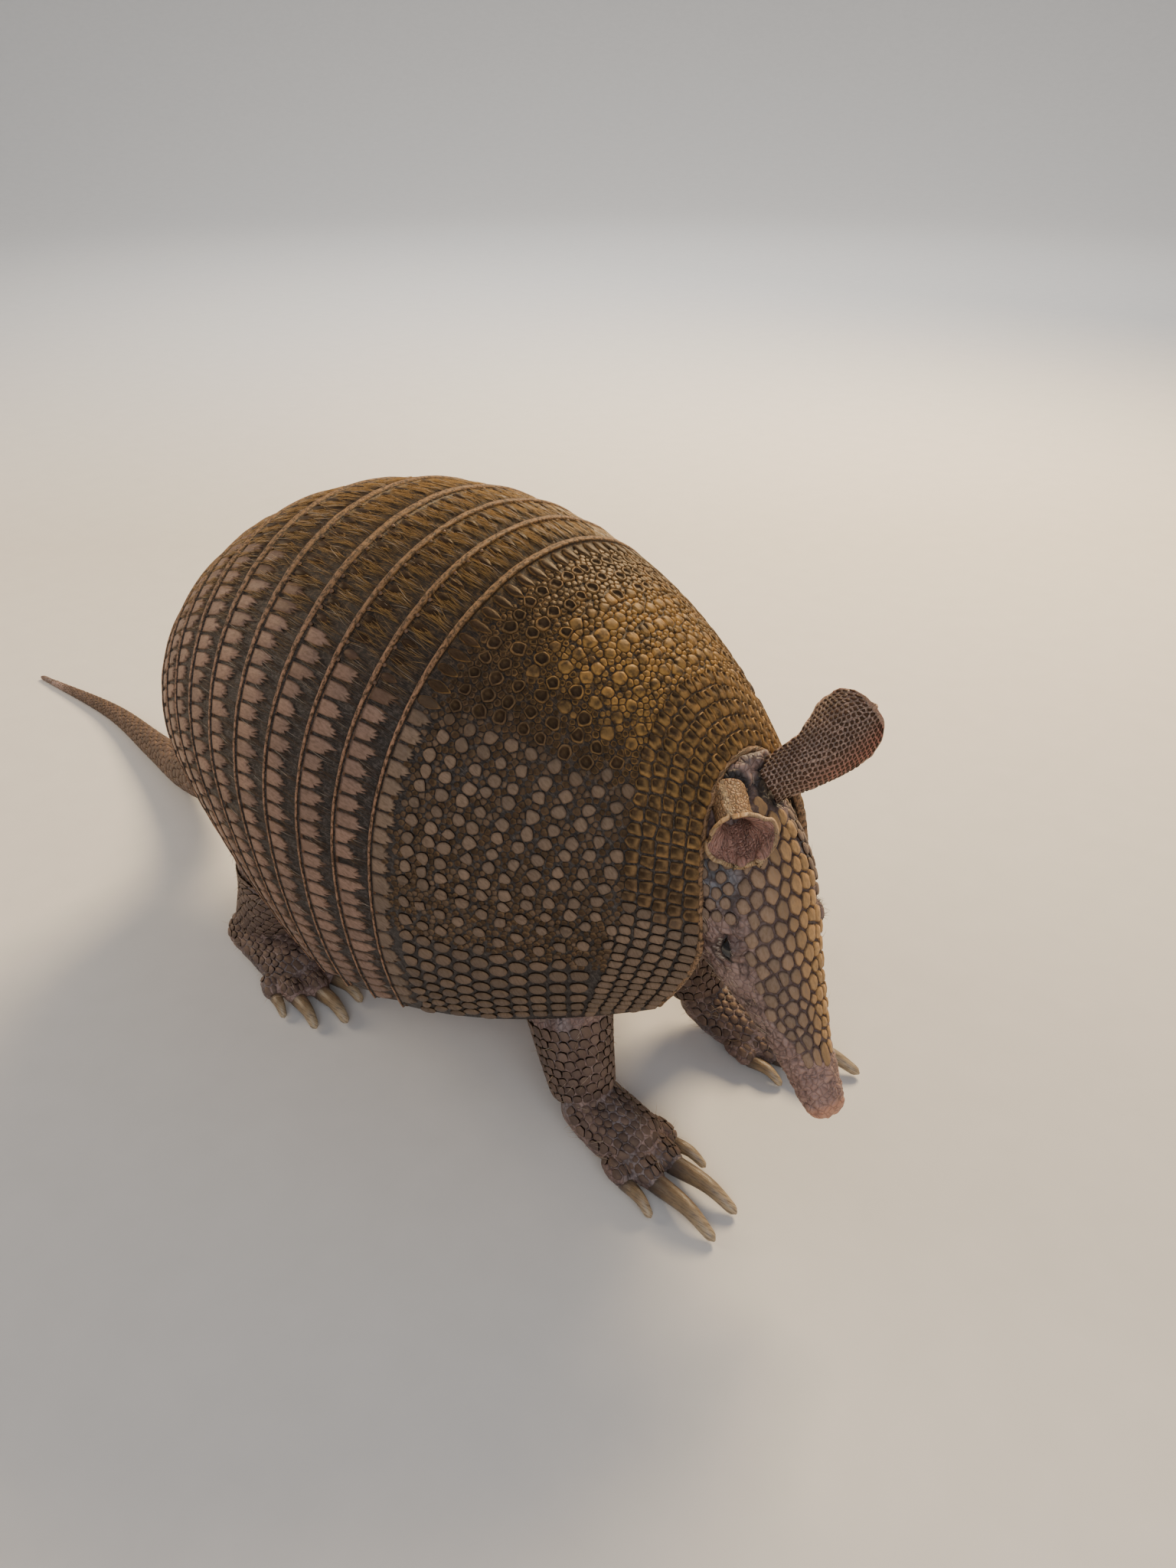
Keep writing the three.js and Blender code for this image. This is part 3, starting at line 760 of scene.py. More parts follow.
class Scales:
    """Raised scales on a surface, gathered into one mesh."""

    # A lone scale's reach over its radius, how many neighbours may cut it, and the tops' share of the bake map.
    CORNER = 1.35
    NEIGHBOURS = 18
    TOPS = 0.8

    def __init__(self, surface: Surface, sunk: float, groove: float) -> None:
        """Starts an empty set.

        Args:
            surface: What the scales sit on.
            sunk: How far the ground between them lies below the surface.
            groove: How wide the ground between two scales is.
        """
        self.surface = surface
        self.sunk = sunk
        self.groove = groove
        self.u: list[float] = []
        self.w: list[float] = []
        self.lift: list[float] = []
        self.marks: list[tuple[float, float, float, float]] = []
        self.faces: list[tuple[int, ...]] = []
        self.hidden: list[bool] = []
        self.places: list[Array] = []
        self.lay: list[Array] = []

    def settle(self) -> None:
        """Lays what was added since the last call on the surface."""
        done = sum(len(part) for part in self.places)
        u, w, lift = (np.array(values[done:]) for values in (self.u, self.w, self.lift))
        if len(u):
            place, normal, _, reach_w = self.surface.around(u, w)
            self.places.append(place + normal * lift[:, None])
            self.lay.append(columns(u, w * reach_w))

    def use(self, surface: Surface) -> None:
        """Lays the next scales on another surface."""
        self.settle()
        self.surface = surface

    def add(self, site: Site, outline: Outline, reach_u: float, reach_w: float) -> None:
        """Adds one scale.

        Args:
            site: Where it sits and what it is like.
            outline: Its corners in metres from the site.
            reach_u: How far a unit of u reaches there.
            reach_w: How far a unit of w reaches there.
        """
        if len(outline) < 3:
            return
        if site.profile.rounding:
            outline = rounded(outline, site.profile.rounding)
        count = len(outline)
        middle = (sum(p[0] for p in outline) / count, sum(p[1] for p in outline) / count)
        first = len(self.u)

        def put(x: float, y: float, rise: float, rim: float) -> None:
            """Adds a vertex at x and y from the site, with its rise and its rim mark."""
            self.u.append(site.u + x / reach_u)
            self.w.append(site.w + y / reach_w)
            self.lift.append(site.height * rise - self.sunk)
            self.marks.append((rim, *site.marks))

        for size, rise, rim in site.profile.rings:
            slid = site.lean * (1 - size) * site.radius * site.stretch
            for x, y in outline:
                put(mix(middle[0], x, size) + slid, mix(middle[1], y, size), rise, rim)
        rings = len(site.profile.rings)
        put(middle[0] + slid, middle[1], *site.profile.crown)
        put(middle[0] + slid, middle[1], site.profile.rings[0][1], 1.0)
        crown = first + rings * count
        top = first + (rings - 1) * count
        for j in range(count):
            after = (j + 1) % count
            for k in range(rings - 1):
                low, high = first + k * count, first + (k + 1) * count
                self.faces.append((low + j, low + after, high + after, high + j))
            self.faces.append((top + j, top + after, crown))
            self.faces.append((first + after, first + j, crown + 1))
            self.hidden += [False] * rings + [True]

    def fill(self, sites: Sequence[Site], around: bool) -> None:
        """Adds a cell for each site, shared out between it and its neighbours.

        Args:
            sites: Every site; those not shown only hold their neighbours back.
            around: Whether the surface closes on itself round w.
        """
        u = np.array([s.u for s in sites])
        w = np.array([s.w for s in sites])
        places, _, reach_u, reach_w = self.surface.around(u, w)
        tree = kdtree.KDTree(len(sites))
        for index, place in enumerate(places):
            tree.insert(Vector(place), index)
        tree.balance()
        for i, site in enumerate(sites):
            if not site.shown:
                continue
            corner = self.CORNER * site.radius
            outline = [
                (corner * math.cos(k * math.pi / 4), corner * math.sin(k * math.pi / 4)) for k in range(8)
            ]
            for _, j, distance in tree.find_n(Vector(places[i]), self.NEIGHBOURS):
                other = sites[j]
                if j == i or distance > 1.5 * site.stretch * (site.radius + other.radius):
                    continue
                gap = w[j] - w[i]
                if around:
                    gap = (gap + math.pi) % (2 * math.pi) - math.pi
                x, y = (u[j] - u[i]) * reach_u[i] / site.stretch, gap * reach_w[i]
                apart = max(math.hypot(x, y), 1e-6)
                share = 0.5 + (site.radius**2 - other.radius**2) / (2 * apart * apart)
                limit = apart * min(max(share, 0.2), 0.8) - min(site.gap, self.groove) / 2
                outline = clipped(outline, x / apart, y / apart, limit)
                if len(outline) < 3:
                    break
            stretched = [(x * site.stretch, y) for x, y in outline]
            self.add(site, stretched, reach_u[i], reach_w[i])

    def build(self, name: str, span_u: tuple[float, float], span_w: tuple[float, float]) -> Piece:
        """The scales as one object.

        Args:
            name: Its name.
            span_u: The lowest and highest u of the bake map.
            span_w: The lowest and highest w of the bake map.

        Returns:
            The object, with its marks, its lay map and its bake map.
        """
        self.settle()
        u, w = np.array(self.u), np.array(self.w)
        piece = new_mesh(name, np.concatenate(self.places), self.faces)
        add_marks(piece, np.array(self.marks))
        add_lay(piece, *np.concatenate(self.lay).T)
        flat = columns((u - span_u[0]) / (span_u[1] - span_u[0]), (w - span_w[0]) / (span_w[1] - span_w[0]))
        flat = 0.01 + 0.98 * np.clip(flat, 0, 1)[corners_of(piece)]
        hidden = np.repeat(np.array(self.hidden), read(piece.data.polygons, "loop_total", 1, int))
        flat[:, 0] = np.where(hidden, self.TOPS + 0.01 + 0.19 * flat[:, 0], self.TOPS * flat[:, 0])
        add_map(piece, BAKE_MAP, flat)
        return piece


def scattered(
    surface: Surface,
    span_u: tuple[float, float],
    span_w: tuple[float, float],
    apart: float,
    tries: int,
    seed: int,
    keep: Callable[[float, float], bool],
    taken: Sequence[tuple[float, float, float]] = (),
) -> list[tuple[float, float]]:
    """Places thrown at random on a surface, none too near to another.

    Args:
        surface: Where they fall.
        span_u: From where to where along it.
        span_w: From where to where round it.
        apart: The least distance between two.
        tries: How many are thrown.
        seed: Which of the random orders to take.
        keep: Says whether a place may be used.
        taken: Places that are used already: u, w and the room that each needs.

    Returns:
        The u and w of those that are kept.
    """
    rng = np.random.default_rng(seed)
    u = rng.uniform(*span_u, tries)
    w = rng.uniform(*span_w, tries)
    places = surface.at(u, w)
    cells: dict[tuple[int, int, int], list[tuple[float, float, float, float]]] = {}
    width = max([apart] + [room for _, _, room in taken])

    def cell_of(place: Array) -> tuple[int, int, int]:
        """The grid cell of a place."""
        return int(place[0] // width), int(place[1] // width), int(place[2] // width)

    if taken:
        fixed = surface.at(np.array([t[0] for t in taken]), np.array([t[1] for t in taken]))
        for place, (_, _, room) in zip(fixed, taken):
            cells.setdefault(cell_of(place), []).append((*place, room))
    found = []
    for at_u, at_w, place in zip(u, w, places):
        if not keep(at_u, at_w):
            continue
        home = cell_of(place)
        near = (
            (x - place[0]) ** 2 + (y - place[1]) ** 2 + (z - place[2]) ** 2 < room * room
            for i in (-1, 0, 1)
            for j in (-1, 0, 1)
            for k in (-1, 0, 1)
            for x, y, z, room in cells.get((home[0] + i, home[1] + j, home[2] + k), ())
        )
        if not any(near):
            cells.setdefault(home, []).append((*place, apart))
            found.append((float(at_u), float(at_w)))
    return found


# ---------------------------------------------------------------- hair


class Strands:
    """Fine solid hairs, three-sided and pointed, gathered into one mesh."""

    SIDES = 3

    def __init__(self, segments: int = 3) -> None:
        """Starts an empty set whose hairs have this many lengths."""
        self.segments = segments
        self.places: list[Array] = []
        self.marks: list[Array] = []
        self.patches: list[Array] = []

    def steps(self) -> Array:
        """Where a hair's places lie, as shares of its length."""
        return np.linspace(0, 1, self.segments + 1)

    def add(self, lines: Array, normals: Array, width: Array, marks: Array, patches: Array) -> None:
        """Adds some hairs.

        Args:
            lines: Each hair's places from root to tip, of shape (hairs, segments + 1, 3).
            normals: A direction across each hair, out of the skin.
            width: Each hair's thickness at its root.
            marks: Three marks for each hair.
            patches: Each root's place on the bake map.
        """
        count = len(lines)
        along = unit(lines[:, -1] - lines[:, 0])
        across = unit(np.cross(along, normals))
        out = np.cross(across, along)
        found = []
        share = self.steps()[:-1]
        for k in range(self.segments):
            thick = (width / 2 * (1 - 0.75 * share[k] ** 1.5))[:, None]
            for turn in range(self.SIDES):
                angle = 2 * math.pi * turn / self.SIDES + math.pi / 2
                found.append(lines[:, k] + (across * math.cos(angle) + out * math.sin(angle)) * thick)
        found.append(lines[:, -1])
        each = columns(*found)
        self.places.append(each.reshape(-1, 3))
        rows = each.shape[1]
        tip = np.append(np.repeat(share, self.SIDES), 1.0)
        tips = np.tile(tip, (count, 1))[..., None]
        spread = np.concatenate([tips, np.repeat(marks[:, None], rows, axis=1)], axis=2)
        self.marks.append(spread.reshape(-1, 4))
        side = np.append(np.tile(np.arange(self.SIDES) / self.SIDES, self.segments), 0.5)
        offset = (columns(tip, side) - 0.5) * TUFT_PATCH
        self.patches.append((patches[:, None] + offset[None]).reshape(-1, 2))

    def build(self, name: str) -> Piece:
        """The hairs as one object, with their marks and their bake map."""
        places = np.concatenate(self.places)
        rows = self.segments * self.SIDES + 1
        one = [(2, 1, 0)]
        for k in range(self.segments - 1):
            for j in range(self.SIDES):
                low, high = k * self.SIDES, (k + 1) * self.SIDES
                after = (j + 1) % self.SIDES
                one.append((low + j, low + after, high + after, high + j))
        top = (self.segments - 1) * self.SIDES
        one += [(top + j, top + (j + 1) % self.SIDES, rows - 1) for j in range(self.SIDES)]
        faces = [tuple(first + v for v in face) for first in range(0, len(places), rows) for face in one]
        piece = new_mesh(name, places, faces)
        add_marks(piece, np.concatenate(self.marks))
        add_map(piece, BAKE_MAP, np.clip(np.concatenate(self.patches), 0, 1)[corners_of(piece)])
        return piece


# ---------------------------------------------------------------- finishes


def tint(colour: Colour, gain: float) -> Colour:
    """The colour, lighter or darker by this gain."""
    return tuple(gain * part for part in colour)


class Finish:
    """Builds one material from nodes."""

    def __init__(self, name: str) -> None:
        """Starts a material with a Principled shader."""
        self.material = bpy.data.materials.new(name)
        self.material.use_nodes = True
        self.tree = self.material.node_tree
        self.shader = self.tree.nodes["Principled BSDF"]
        self.column = 0

    def feed(self, node: bpy.types.Node, inputs: dict[str | int, object]) -> None:
        """Links each input to a socket, or sets it to a plain value."""
        for name, value in inputs.items():
            socket = node.inputs[name]
            if isinstance(value, Socket):
                self.tree.links.new(value, socket)
            elif socket.type == "RGBA" and len(value) == 3:
                socket.default_value = (*value, 1.0)
            elif value is not None:
                socket.default_value = value

    def node(self, kind: str, inputs: dict[str | int, object], **values: object) -> bpy.types.Node:
        """Adds a node, sets its properties and feeds its inputs."""
        found = self.tree.nodes.new(kind)
        self.column += 1
        found.location = (-1600 + 180 * (self.column % 8), -200 * (self.column // 8))
        for name, value in values.items():
            setattr(found, name, value)
        self.feed(found, inputs)
        return found

    def place(self, lay: Sequence[float] = ()) -> Socket:
        """Object coordinates, or the lay map scaled along and around by these."""
        if not lay:
            return self.node("ShaderNodeTexCoord", {}).outputs["Object"]
        source = self.node("ShaderNodeUVMap", {}, uv_map=LAY_MAP).outputs["UV"]
        return self.node("ShaderNodeMapping", {"Vector": source, "Scale": (*lay, 1)}).outputs["Vector"]

    def noise(
        self, scale: float, detail: float = 3, rough: float = 0.55, lay: Sequence[float] = ()
    ) -> Socket:
        """Noise from 0 to 1, in space or over the lay map."""
        inputs = {"Vector": self.place(lay), "Scale": scale, "Detail": detail, "Roughness": rough}
        return self.node("ShaderNodeTexNoise", inputs).outputs["Fac"]

    def cells(self, scale: float, feature: str = "DISTANCE_TO_EDGE", lay: Sequence[float] = ()) -> Socket:
        """The distance to a Voronoi cell's edge or middle."""
        inputs = {"Vector": self.place(lay), "Scale": scale}
        return self.node("ShaderNodeTexVoronoi", inputs, feature=feature).outputs["Distance"]

    def marks(self) -> tuple[Socket, Socket, Socket, Socket]:
        """The four marks painted on the vertices."""
        source = self.node("ShaderNodeAttribute", {}, attribute_name=MARKS)
        parts = self.node("ShaderNodeSeparateColor", {"Color": source.outputs["Color"]}).outputs
        return parts["Red"], parts["Green"], parts["Blue"], source.outputs["Alpha"]

    def band(self, value: Socket, low: float, high: float) -> Socket:
        """0 where the value is low and 1 where it is high, with an even curve between."""
        rising = low < high
        inputs = {"Value": value, "From Min": min(low, high), "From Max": max(low, high)}
        inputs |= {"To Min": float(not rising), "To Max": float(rising)}
        return self.node("ShaderNodeMapRange", inputs, interpolation_type="SMOOTHSTEP").outputs["Result"]

    def scaled(self, value: object, gain: object, base: object = 0.0) -> Socket:
        """The value times gain, plus base."""
        return self.node("ShaderNodeMath", {0: value, 1: gain, 2: base}, operation="MULTIPLY_ADD").outputs[0]

    def blend(self, share: object, a: object, b: object, kind: str = "MIX") -> Socket:
        """Mixes two colours."""
        inputs = {"Factor": share, 6: a, 7: b}
        return self.node("ShaderNodeMix", inputs, data_type="RGBA", blend_type=kind).outputs[2]

    def bumps(self, *layers: tuple[Socket, float]) -> Socket | None:
        """Raises the surface by each height times its reach in millimetres, one over another."""
        normal = None
        for height, reach in layers:
            inputs = {"Distance": reach * MM, "Height": height, "Normal": normal}
            normal = self.node("ShaderNodeBump", inputs).outputs["Normal"]
        return normal

    def dress(self, colour: object, rough: object, normal: Socket | None = None, **rest: object) -> Material:
        """Feeds the shader and gives back the material.

        Args:
            colour: The base colour.
            rough: The roughness.
            normal: The bumped normal.
            rest: Other sockets by name, with _ for a space.

        Returns:
            The material.
        """
        self.feed(self.shader, {"Base Color": colour, "Roughness": rough, "Normal": normal})
        self.feed(self.shader, {name.replace("_", " "): value for name, value in rest.items()})
        return self.material


@dataclass(frozen=True)
class HornFinish:
    """Scales of shell. Marks: rim, pale, chance, gold; the gold mark is partly painted warm highlight."""

    name: str
    # groove is painted shade: the colour of each scale's foot, down in the groove between scales.
    groove: Colour = (0.010, 0.006, 0.005)
    dark: Colour = (0.022, 0.014, 0.010)
    pale: Colour = (0.165, 0.122, 0.094)
    # gold: the rim's golden colour, partly the horn's own tint and partly painted warm highlight.
    gold: Colour = (0.33, 0.185, 0.055)
    tan: Colour = (0.105, 0.070, 0.045)
    sheen: Colour = (1.45, 1.38, 1.30)
    glint: Colour = (1.0, 0.66, 0.26)
    rough: float = 0.50

    def material(self) -> Material:
        """Dark or pale middles, a lighter rim that turns golden with the gold mark, partly as painted warm
        highlight, painted shade at each scale's foot, and streaks that run front to back.
        """
        paint = Finish(self.name)
        rim, pale, chance, gold = paint.marks()
        streak = paint.noise(1, 4, 0.62, lay=(60, 130))
        mottle = paint.noise(420)
        ring = paint.band(rim, 0.35, 0.8)
        middle = paint.blend(paint.band(streak, 0.3, 0.75), self.dark, tint(self.dark, 1.9))
        # The rim turns golden with the gold mark: painted warm highlight where that mark follows the top of the
        # front shield and the far side of the head.
        edge = paint.blend(gold, self.tan, self.gold)
        edge = paint.blend(paint.band(mottle, 0.35, 0.7), edge, tint(self.tan, 0.45))
        light = paint.blend(paint.band(streak, 0.35, 0.75), self.pale, tint(self.pale, 0.6))
        light = paint.blend(paint.scaled(ring, 0.35), light, self.tan)
        colour = paint.blend(pale, paint.blend(ring, middle, edge), light)
        shade = paint.band(paint.scaled(paint.noise(95, 2), 0.8, chance), 0.2, 1.6)
        colour = paint.blend(shade, colour, self.sheen, "MULTIPLY")
        # Painted shade: the foot of each scale, down in the groove, is painted near black.
        colour = paint.blend(paint.band(rim, 0.93, 1.0), colour, self.groove)
        rough = paint.scaled(mottle, 0.3, self.rough - 0.12)
        normal = paint.bumps((streak, 0.16), (mottle, 0.12))
        return paint.dress(colour, rough, normal, Specular_IOR_Level=0.3, Specular_Tint=self.glint)


@dataclass(frozen=True)
class GroundFinish:
    """The horny ground between scales, and the fibrous rolls. Marks: roll, pale, streaked, gold."""

    name: str
    ground: Colour = (0.022, 0.015, 0.011)
    # ash: the pale streaks' colour, partly the fibres' own grey and partly painted sheen; gold is their golden
    # form on the top.
    ash_and_sheen: Colour = (0.125, 0.102, 0.086)
    gold: Colour = (0.200, 0.108, 0.030)
    fibre: Colour = (0.46, 0.245, 0.095)
    pink: Colour = (0.56, 0.30, 0.175)
    rough: float = 0.5

    def material(self) -> Material:
        """Streaks front to back over a dark ground, pale partly as painted sheen, and a pale rope of fibres at
        the edge.
        """
        paint = Finish(self.name)
        roll, pale, streaked, gold = paint.marks()
        lines = paint.noise(1, 4, 0.65, lay=(42, 420))
        fine = paint.noise(1, 2, lay=(240, 900))
        rope = paint.noise(1, 5, 0.7, lay=(125, 62))
        # The pale streaks and specks are partly the fibres' own colour and partly painted sheen, golden where
        # the gold mark is high.
        light = paint.blend(gold, self.ash_and_sheen, self.gold)
        lit = paint.scaled(paint.band(lines, 0.48, 0.66), streaked)
        colour = paint.blend(lit, self.ground, light)
        colour = paint.blend(paint.scaled(paint.band(paint.noise(900), 0.48, 0.68), 0.75), colour, light)
        edge = paint.blend(pale, self.fibre, self.pink)
        edge = paint.blend(paint.band(rope, 0.40, 0.58), tint(self.fibre, 0.22), edge)
        colour = paint.blend(paint.band(roll, 0.3, 0.7), colour, edge)
        normal = paint.bumps(
            (paint.scaled(lines, streaked), 0.5), (fine, 0.15), (paint.scaled(rope, roll), 1.3)
        )
        return paint.dress(colour, paint.scaled(fine, 0.3, self.rough - 0.15), normal)


@dataclass(frozen=True)
class HairFinish:
    """Hairs. Marks: how far along, pale, chance, gold."""

    name: str
    root: Colour = (0.06, 0.034, 0.018)
    brown: Colour = (0.115, 0.066, 0.036)
    gold: Colour = (0.46, 0.270, 0.085)
    pale: Colour = (0.66, 0.56, 0.44)
    rough: float = 0.36

    def material(self) -> Material:
        """Brown to golden hairs with darker roots."""
        paint = Finish(self.name)
        along, pale, chance, gold = paint.marks()
        tone = paint.scaled(chance, 0.4, paint.scaled(gold, 0.8))
        colour = paint.blend(paint.band(tone, 0.15, 0.95), self.brown, self.gold)
        colour = paint.blend(pale, colour, self.pale)
        colour = paint.blend(paint.band(along, 0.5, 0.0), colour, self.root)
        return paint.dress(colour, paint.scaled(paint.noise(1500, 2), 0.2, self.rough))


# ---------------------------------------------------------------- shell


def straight(u: float) -> Callable[[Array], Array]:
    """A front edge that lies at the same u all the way round."""
    return lambda w: np.full(len(w), u)


@dataclass
class Plate:
    """One sheet of the shell, thickened inwards, with a roll along its rear edge."""

    name: str
    node: str
    rear: float
    reach: Callable[[Array], Array]
    columns: int
    around: int = 150
    ground: float = 0.75 * MM
    thick: float = 2.1 * MM
    roll_width: float = 2.3 * MM
    roll_height: float = 0.55 * MM
    flank_roll: float = 0.45
    tuck: float = 0.0

    # Distance from the rear edge over the roll's width, and height over the roll's height.
    ROLL = (
        (0.0, -2.6), (0.0, -1.2), (0.1, 0.0), (0.3, 0.8), (0.55, 1.0), (0.8, 0.55), (1.0, -0.6), (1.12, -1.4)
    )

    def lip(self, w: Array) -> Array:
        """How wide the roll is: broad on the back and narrow on the flanks."""
        return self.roll_width * mix(1, self.flank_roll, SHELL.flank(w))

    def build(self) -> Piece:
        """Wraps a grid over the shell and gives it its thickness."""
        rows = len(self.ROLL) + self.columns - 1
        piece = sheet_primitive(self.name, rows, self.around)
        flat = places_of(piece)
        row = np.rint((flat[:, 0] + 0.5) * rows).astype(int)
        w = flat[:, 1] * 2 * SHELL.rim
        lip = self.lip(w)
        table = np.array(self.ROLL)
        on_roll = row < len(table)
        index = np.minimum(row, len(table) - 1)
        ahead = table[index, 0] * lip
        share = np.clip((row - len(table) + 1) / (rows - len(table) + 1), 0, 1)
        start = table[-1, 0] * lip
        full = self.reach(w) - self.rear
        ahead = np.where(on_roll, ahead, mix(start, full, share))
        lift = np.where(on_roll, table[index, 1] * self.roll_height * lip / self.roll_width, 0)
        lift = np.where(on_roll & (table[index, 1] > -1.4), lift, -self.ground)
        lift -= SHELL.step * ahead / full if self.tuck else 0
        lift -= self.tuck * smooth(0.93, 1.0, ahead / full)
        u = self.rear + ahead
        place, normal, _, reach_w = SHELL.around(u, w)
        wobble = grain(place, 5 * MM, 3) * np.where(on_roll, 0.16 * MM, 0.05 * MM)
        move_to(piece, place + normal * (lift + wobble)[:, None])
        # The gold mark is high on the top, where it turns the ground's painted sheen golden.
        top = 1 - swept(20, 62, np.abs(w))
        rolled = np.where(on_roll & (index < len(table) - 2), 1.0, 0.0)
        marks = columns(rolled, 1 - top, 1.0, top)
        add_marks(piece, marks)
        add_lay(piece, u, w * reach_w)
        apply_modifier(piece, "SOLIDIFY", thickness=self.thick, offset=-1)
        return piece


# Half a scute's outline: share of its length forwards from the roll, and share of its half width.
ALMOND = ((0.0, 0.35), (0.16, 0.8), (0.42, 1.0), (0.7, 0.78), (0.92, 0.3))


def almond(start: float, length: float, half: float, rng: np.random.Generator) -> Outline:
    """A slim scute's outline, ahead of the rear edge by start, a little different each time."""
    stray = 0.1 * MM
    right = [(start + length * a + rng.normal() * stray, -half * b + rng.normal() * stray) for a, b in ALMOND]
    left = [
        (start + length * a + rng.normal() * stray, half * b + rng.normal() * stray)
        for a, b in reversed(ALMOND)
    ]
    return right + [(start + length * 1.02, rng.normal() * stray)] + left


def tooth(start: float, length: float, half: float, rng: np.random.Generator) -> Outline:
    """A broad scute's outline, straight at the rear edge and frayed into fingers in front.

    Args:
        start: How far ahead of the rear edge it starts.
        length: How long it is.
        half: Half its width.
        rng: The order of chance.

    Returns:
        Its corners in order.
    """
    fingers = 4
    skew = rng.uniform(-0.35, 0.35)
    front = []
    for k in range(fingers):
        y = mix(-0.86, 0.86, k / (fingers - 1))
        tip = length * (1.04 - 0.30 * abs(y - skew)) * rng.uniform(0.86, 1.06)
        front.append((start + tip, half * y * (1.0 - 0.16 * tip / length)))
        if k < fingers - 1:
            front.append((start + tip * rng.uniform(0.72, 0.88), half * (y + 0.86 / fingers) * 0.8))
    straight = start + 0.45 * length
    return [(start, -half * 0.97), (straight, -half)] + front + [(straight, half), (start, half * 0.97)]


@dataclass(frozen=True)
class Hem(Surface):
    """The roll along the shield's front edge. u is the shell's w, and w goes round the roll."""

    radius: float = 1.1 * MM
    sunk: float = 1.5 * MM
    ahead: float = 0.5 * MM

    def at(self, u: Array, w: Array) -> Array:
        """The roll's places."""
        front = SHELL.collar(u)
        place, normal, _, _ = SHELL.around(front, u)
        forward = unit(SHELL.at(front + MM, u) - place)
        thick = self.radius * np.sqrt(np.clip((SHELL.rim - np.abs(u)) / 0.05, 0.02, 1))
        out, on = thick * np.cos(w) - self.sunk, thick * np.sin(w) + self.ahead
        return place + normal * out[:, None] + forward * on[:, None]


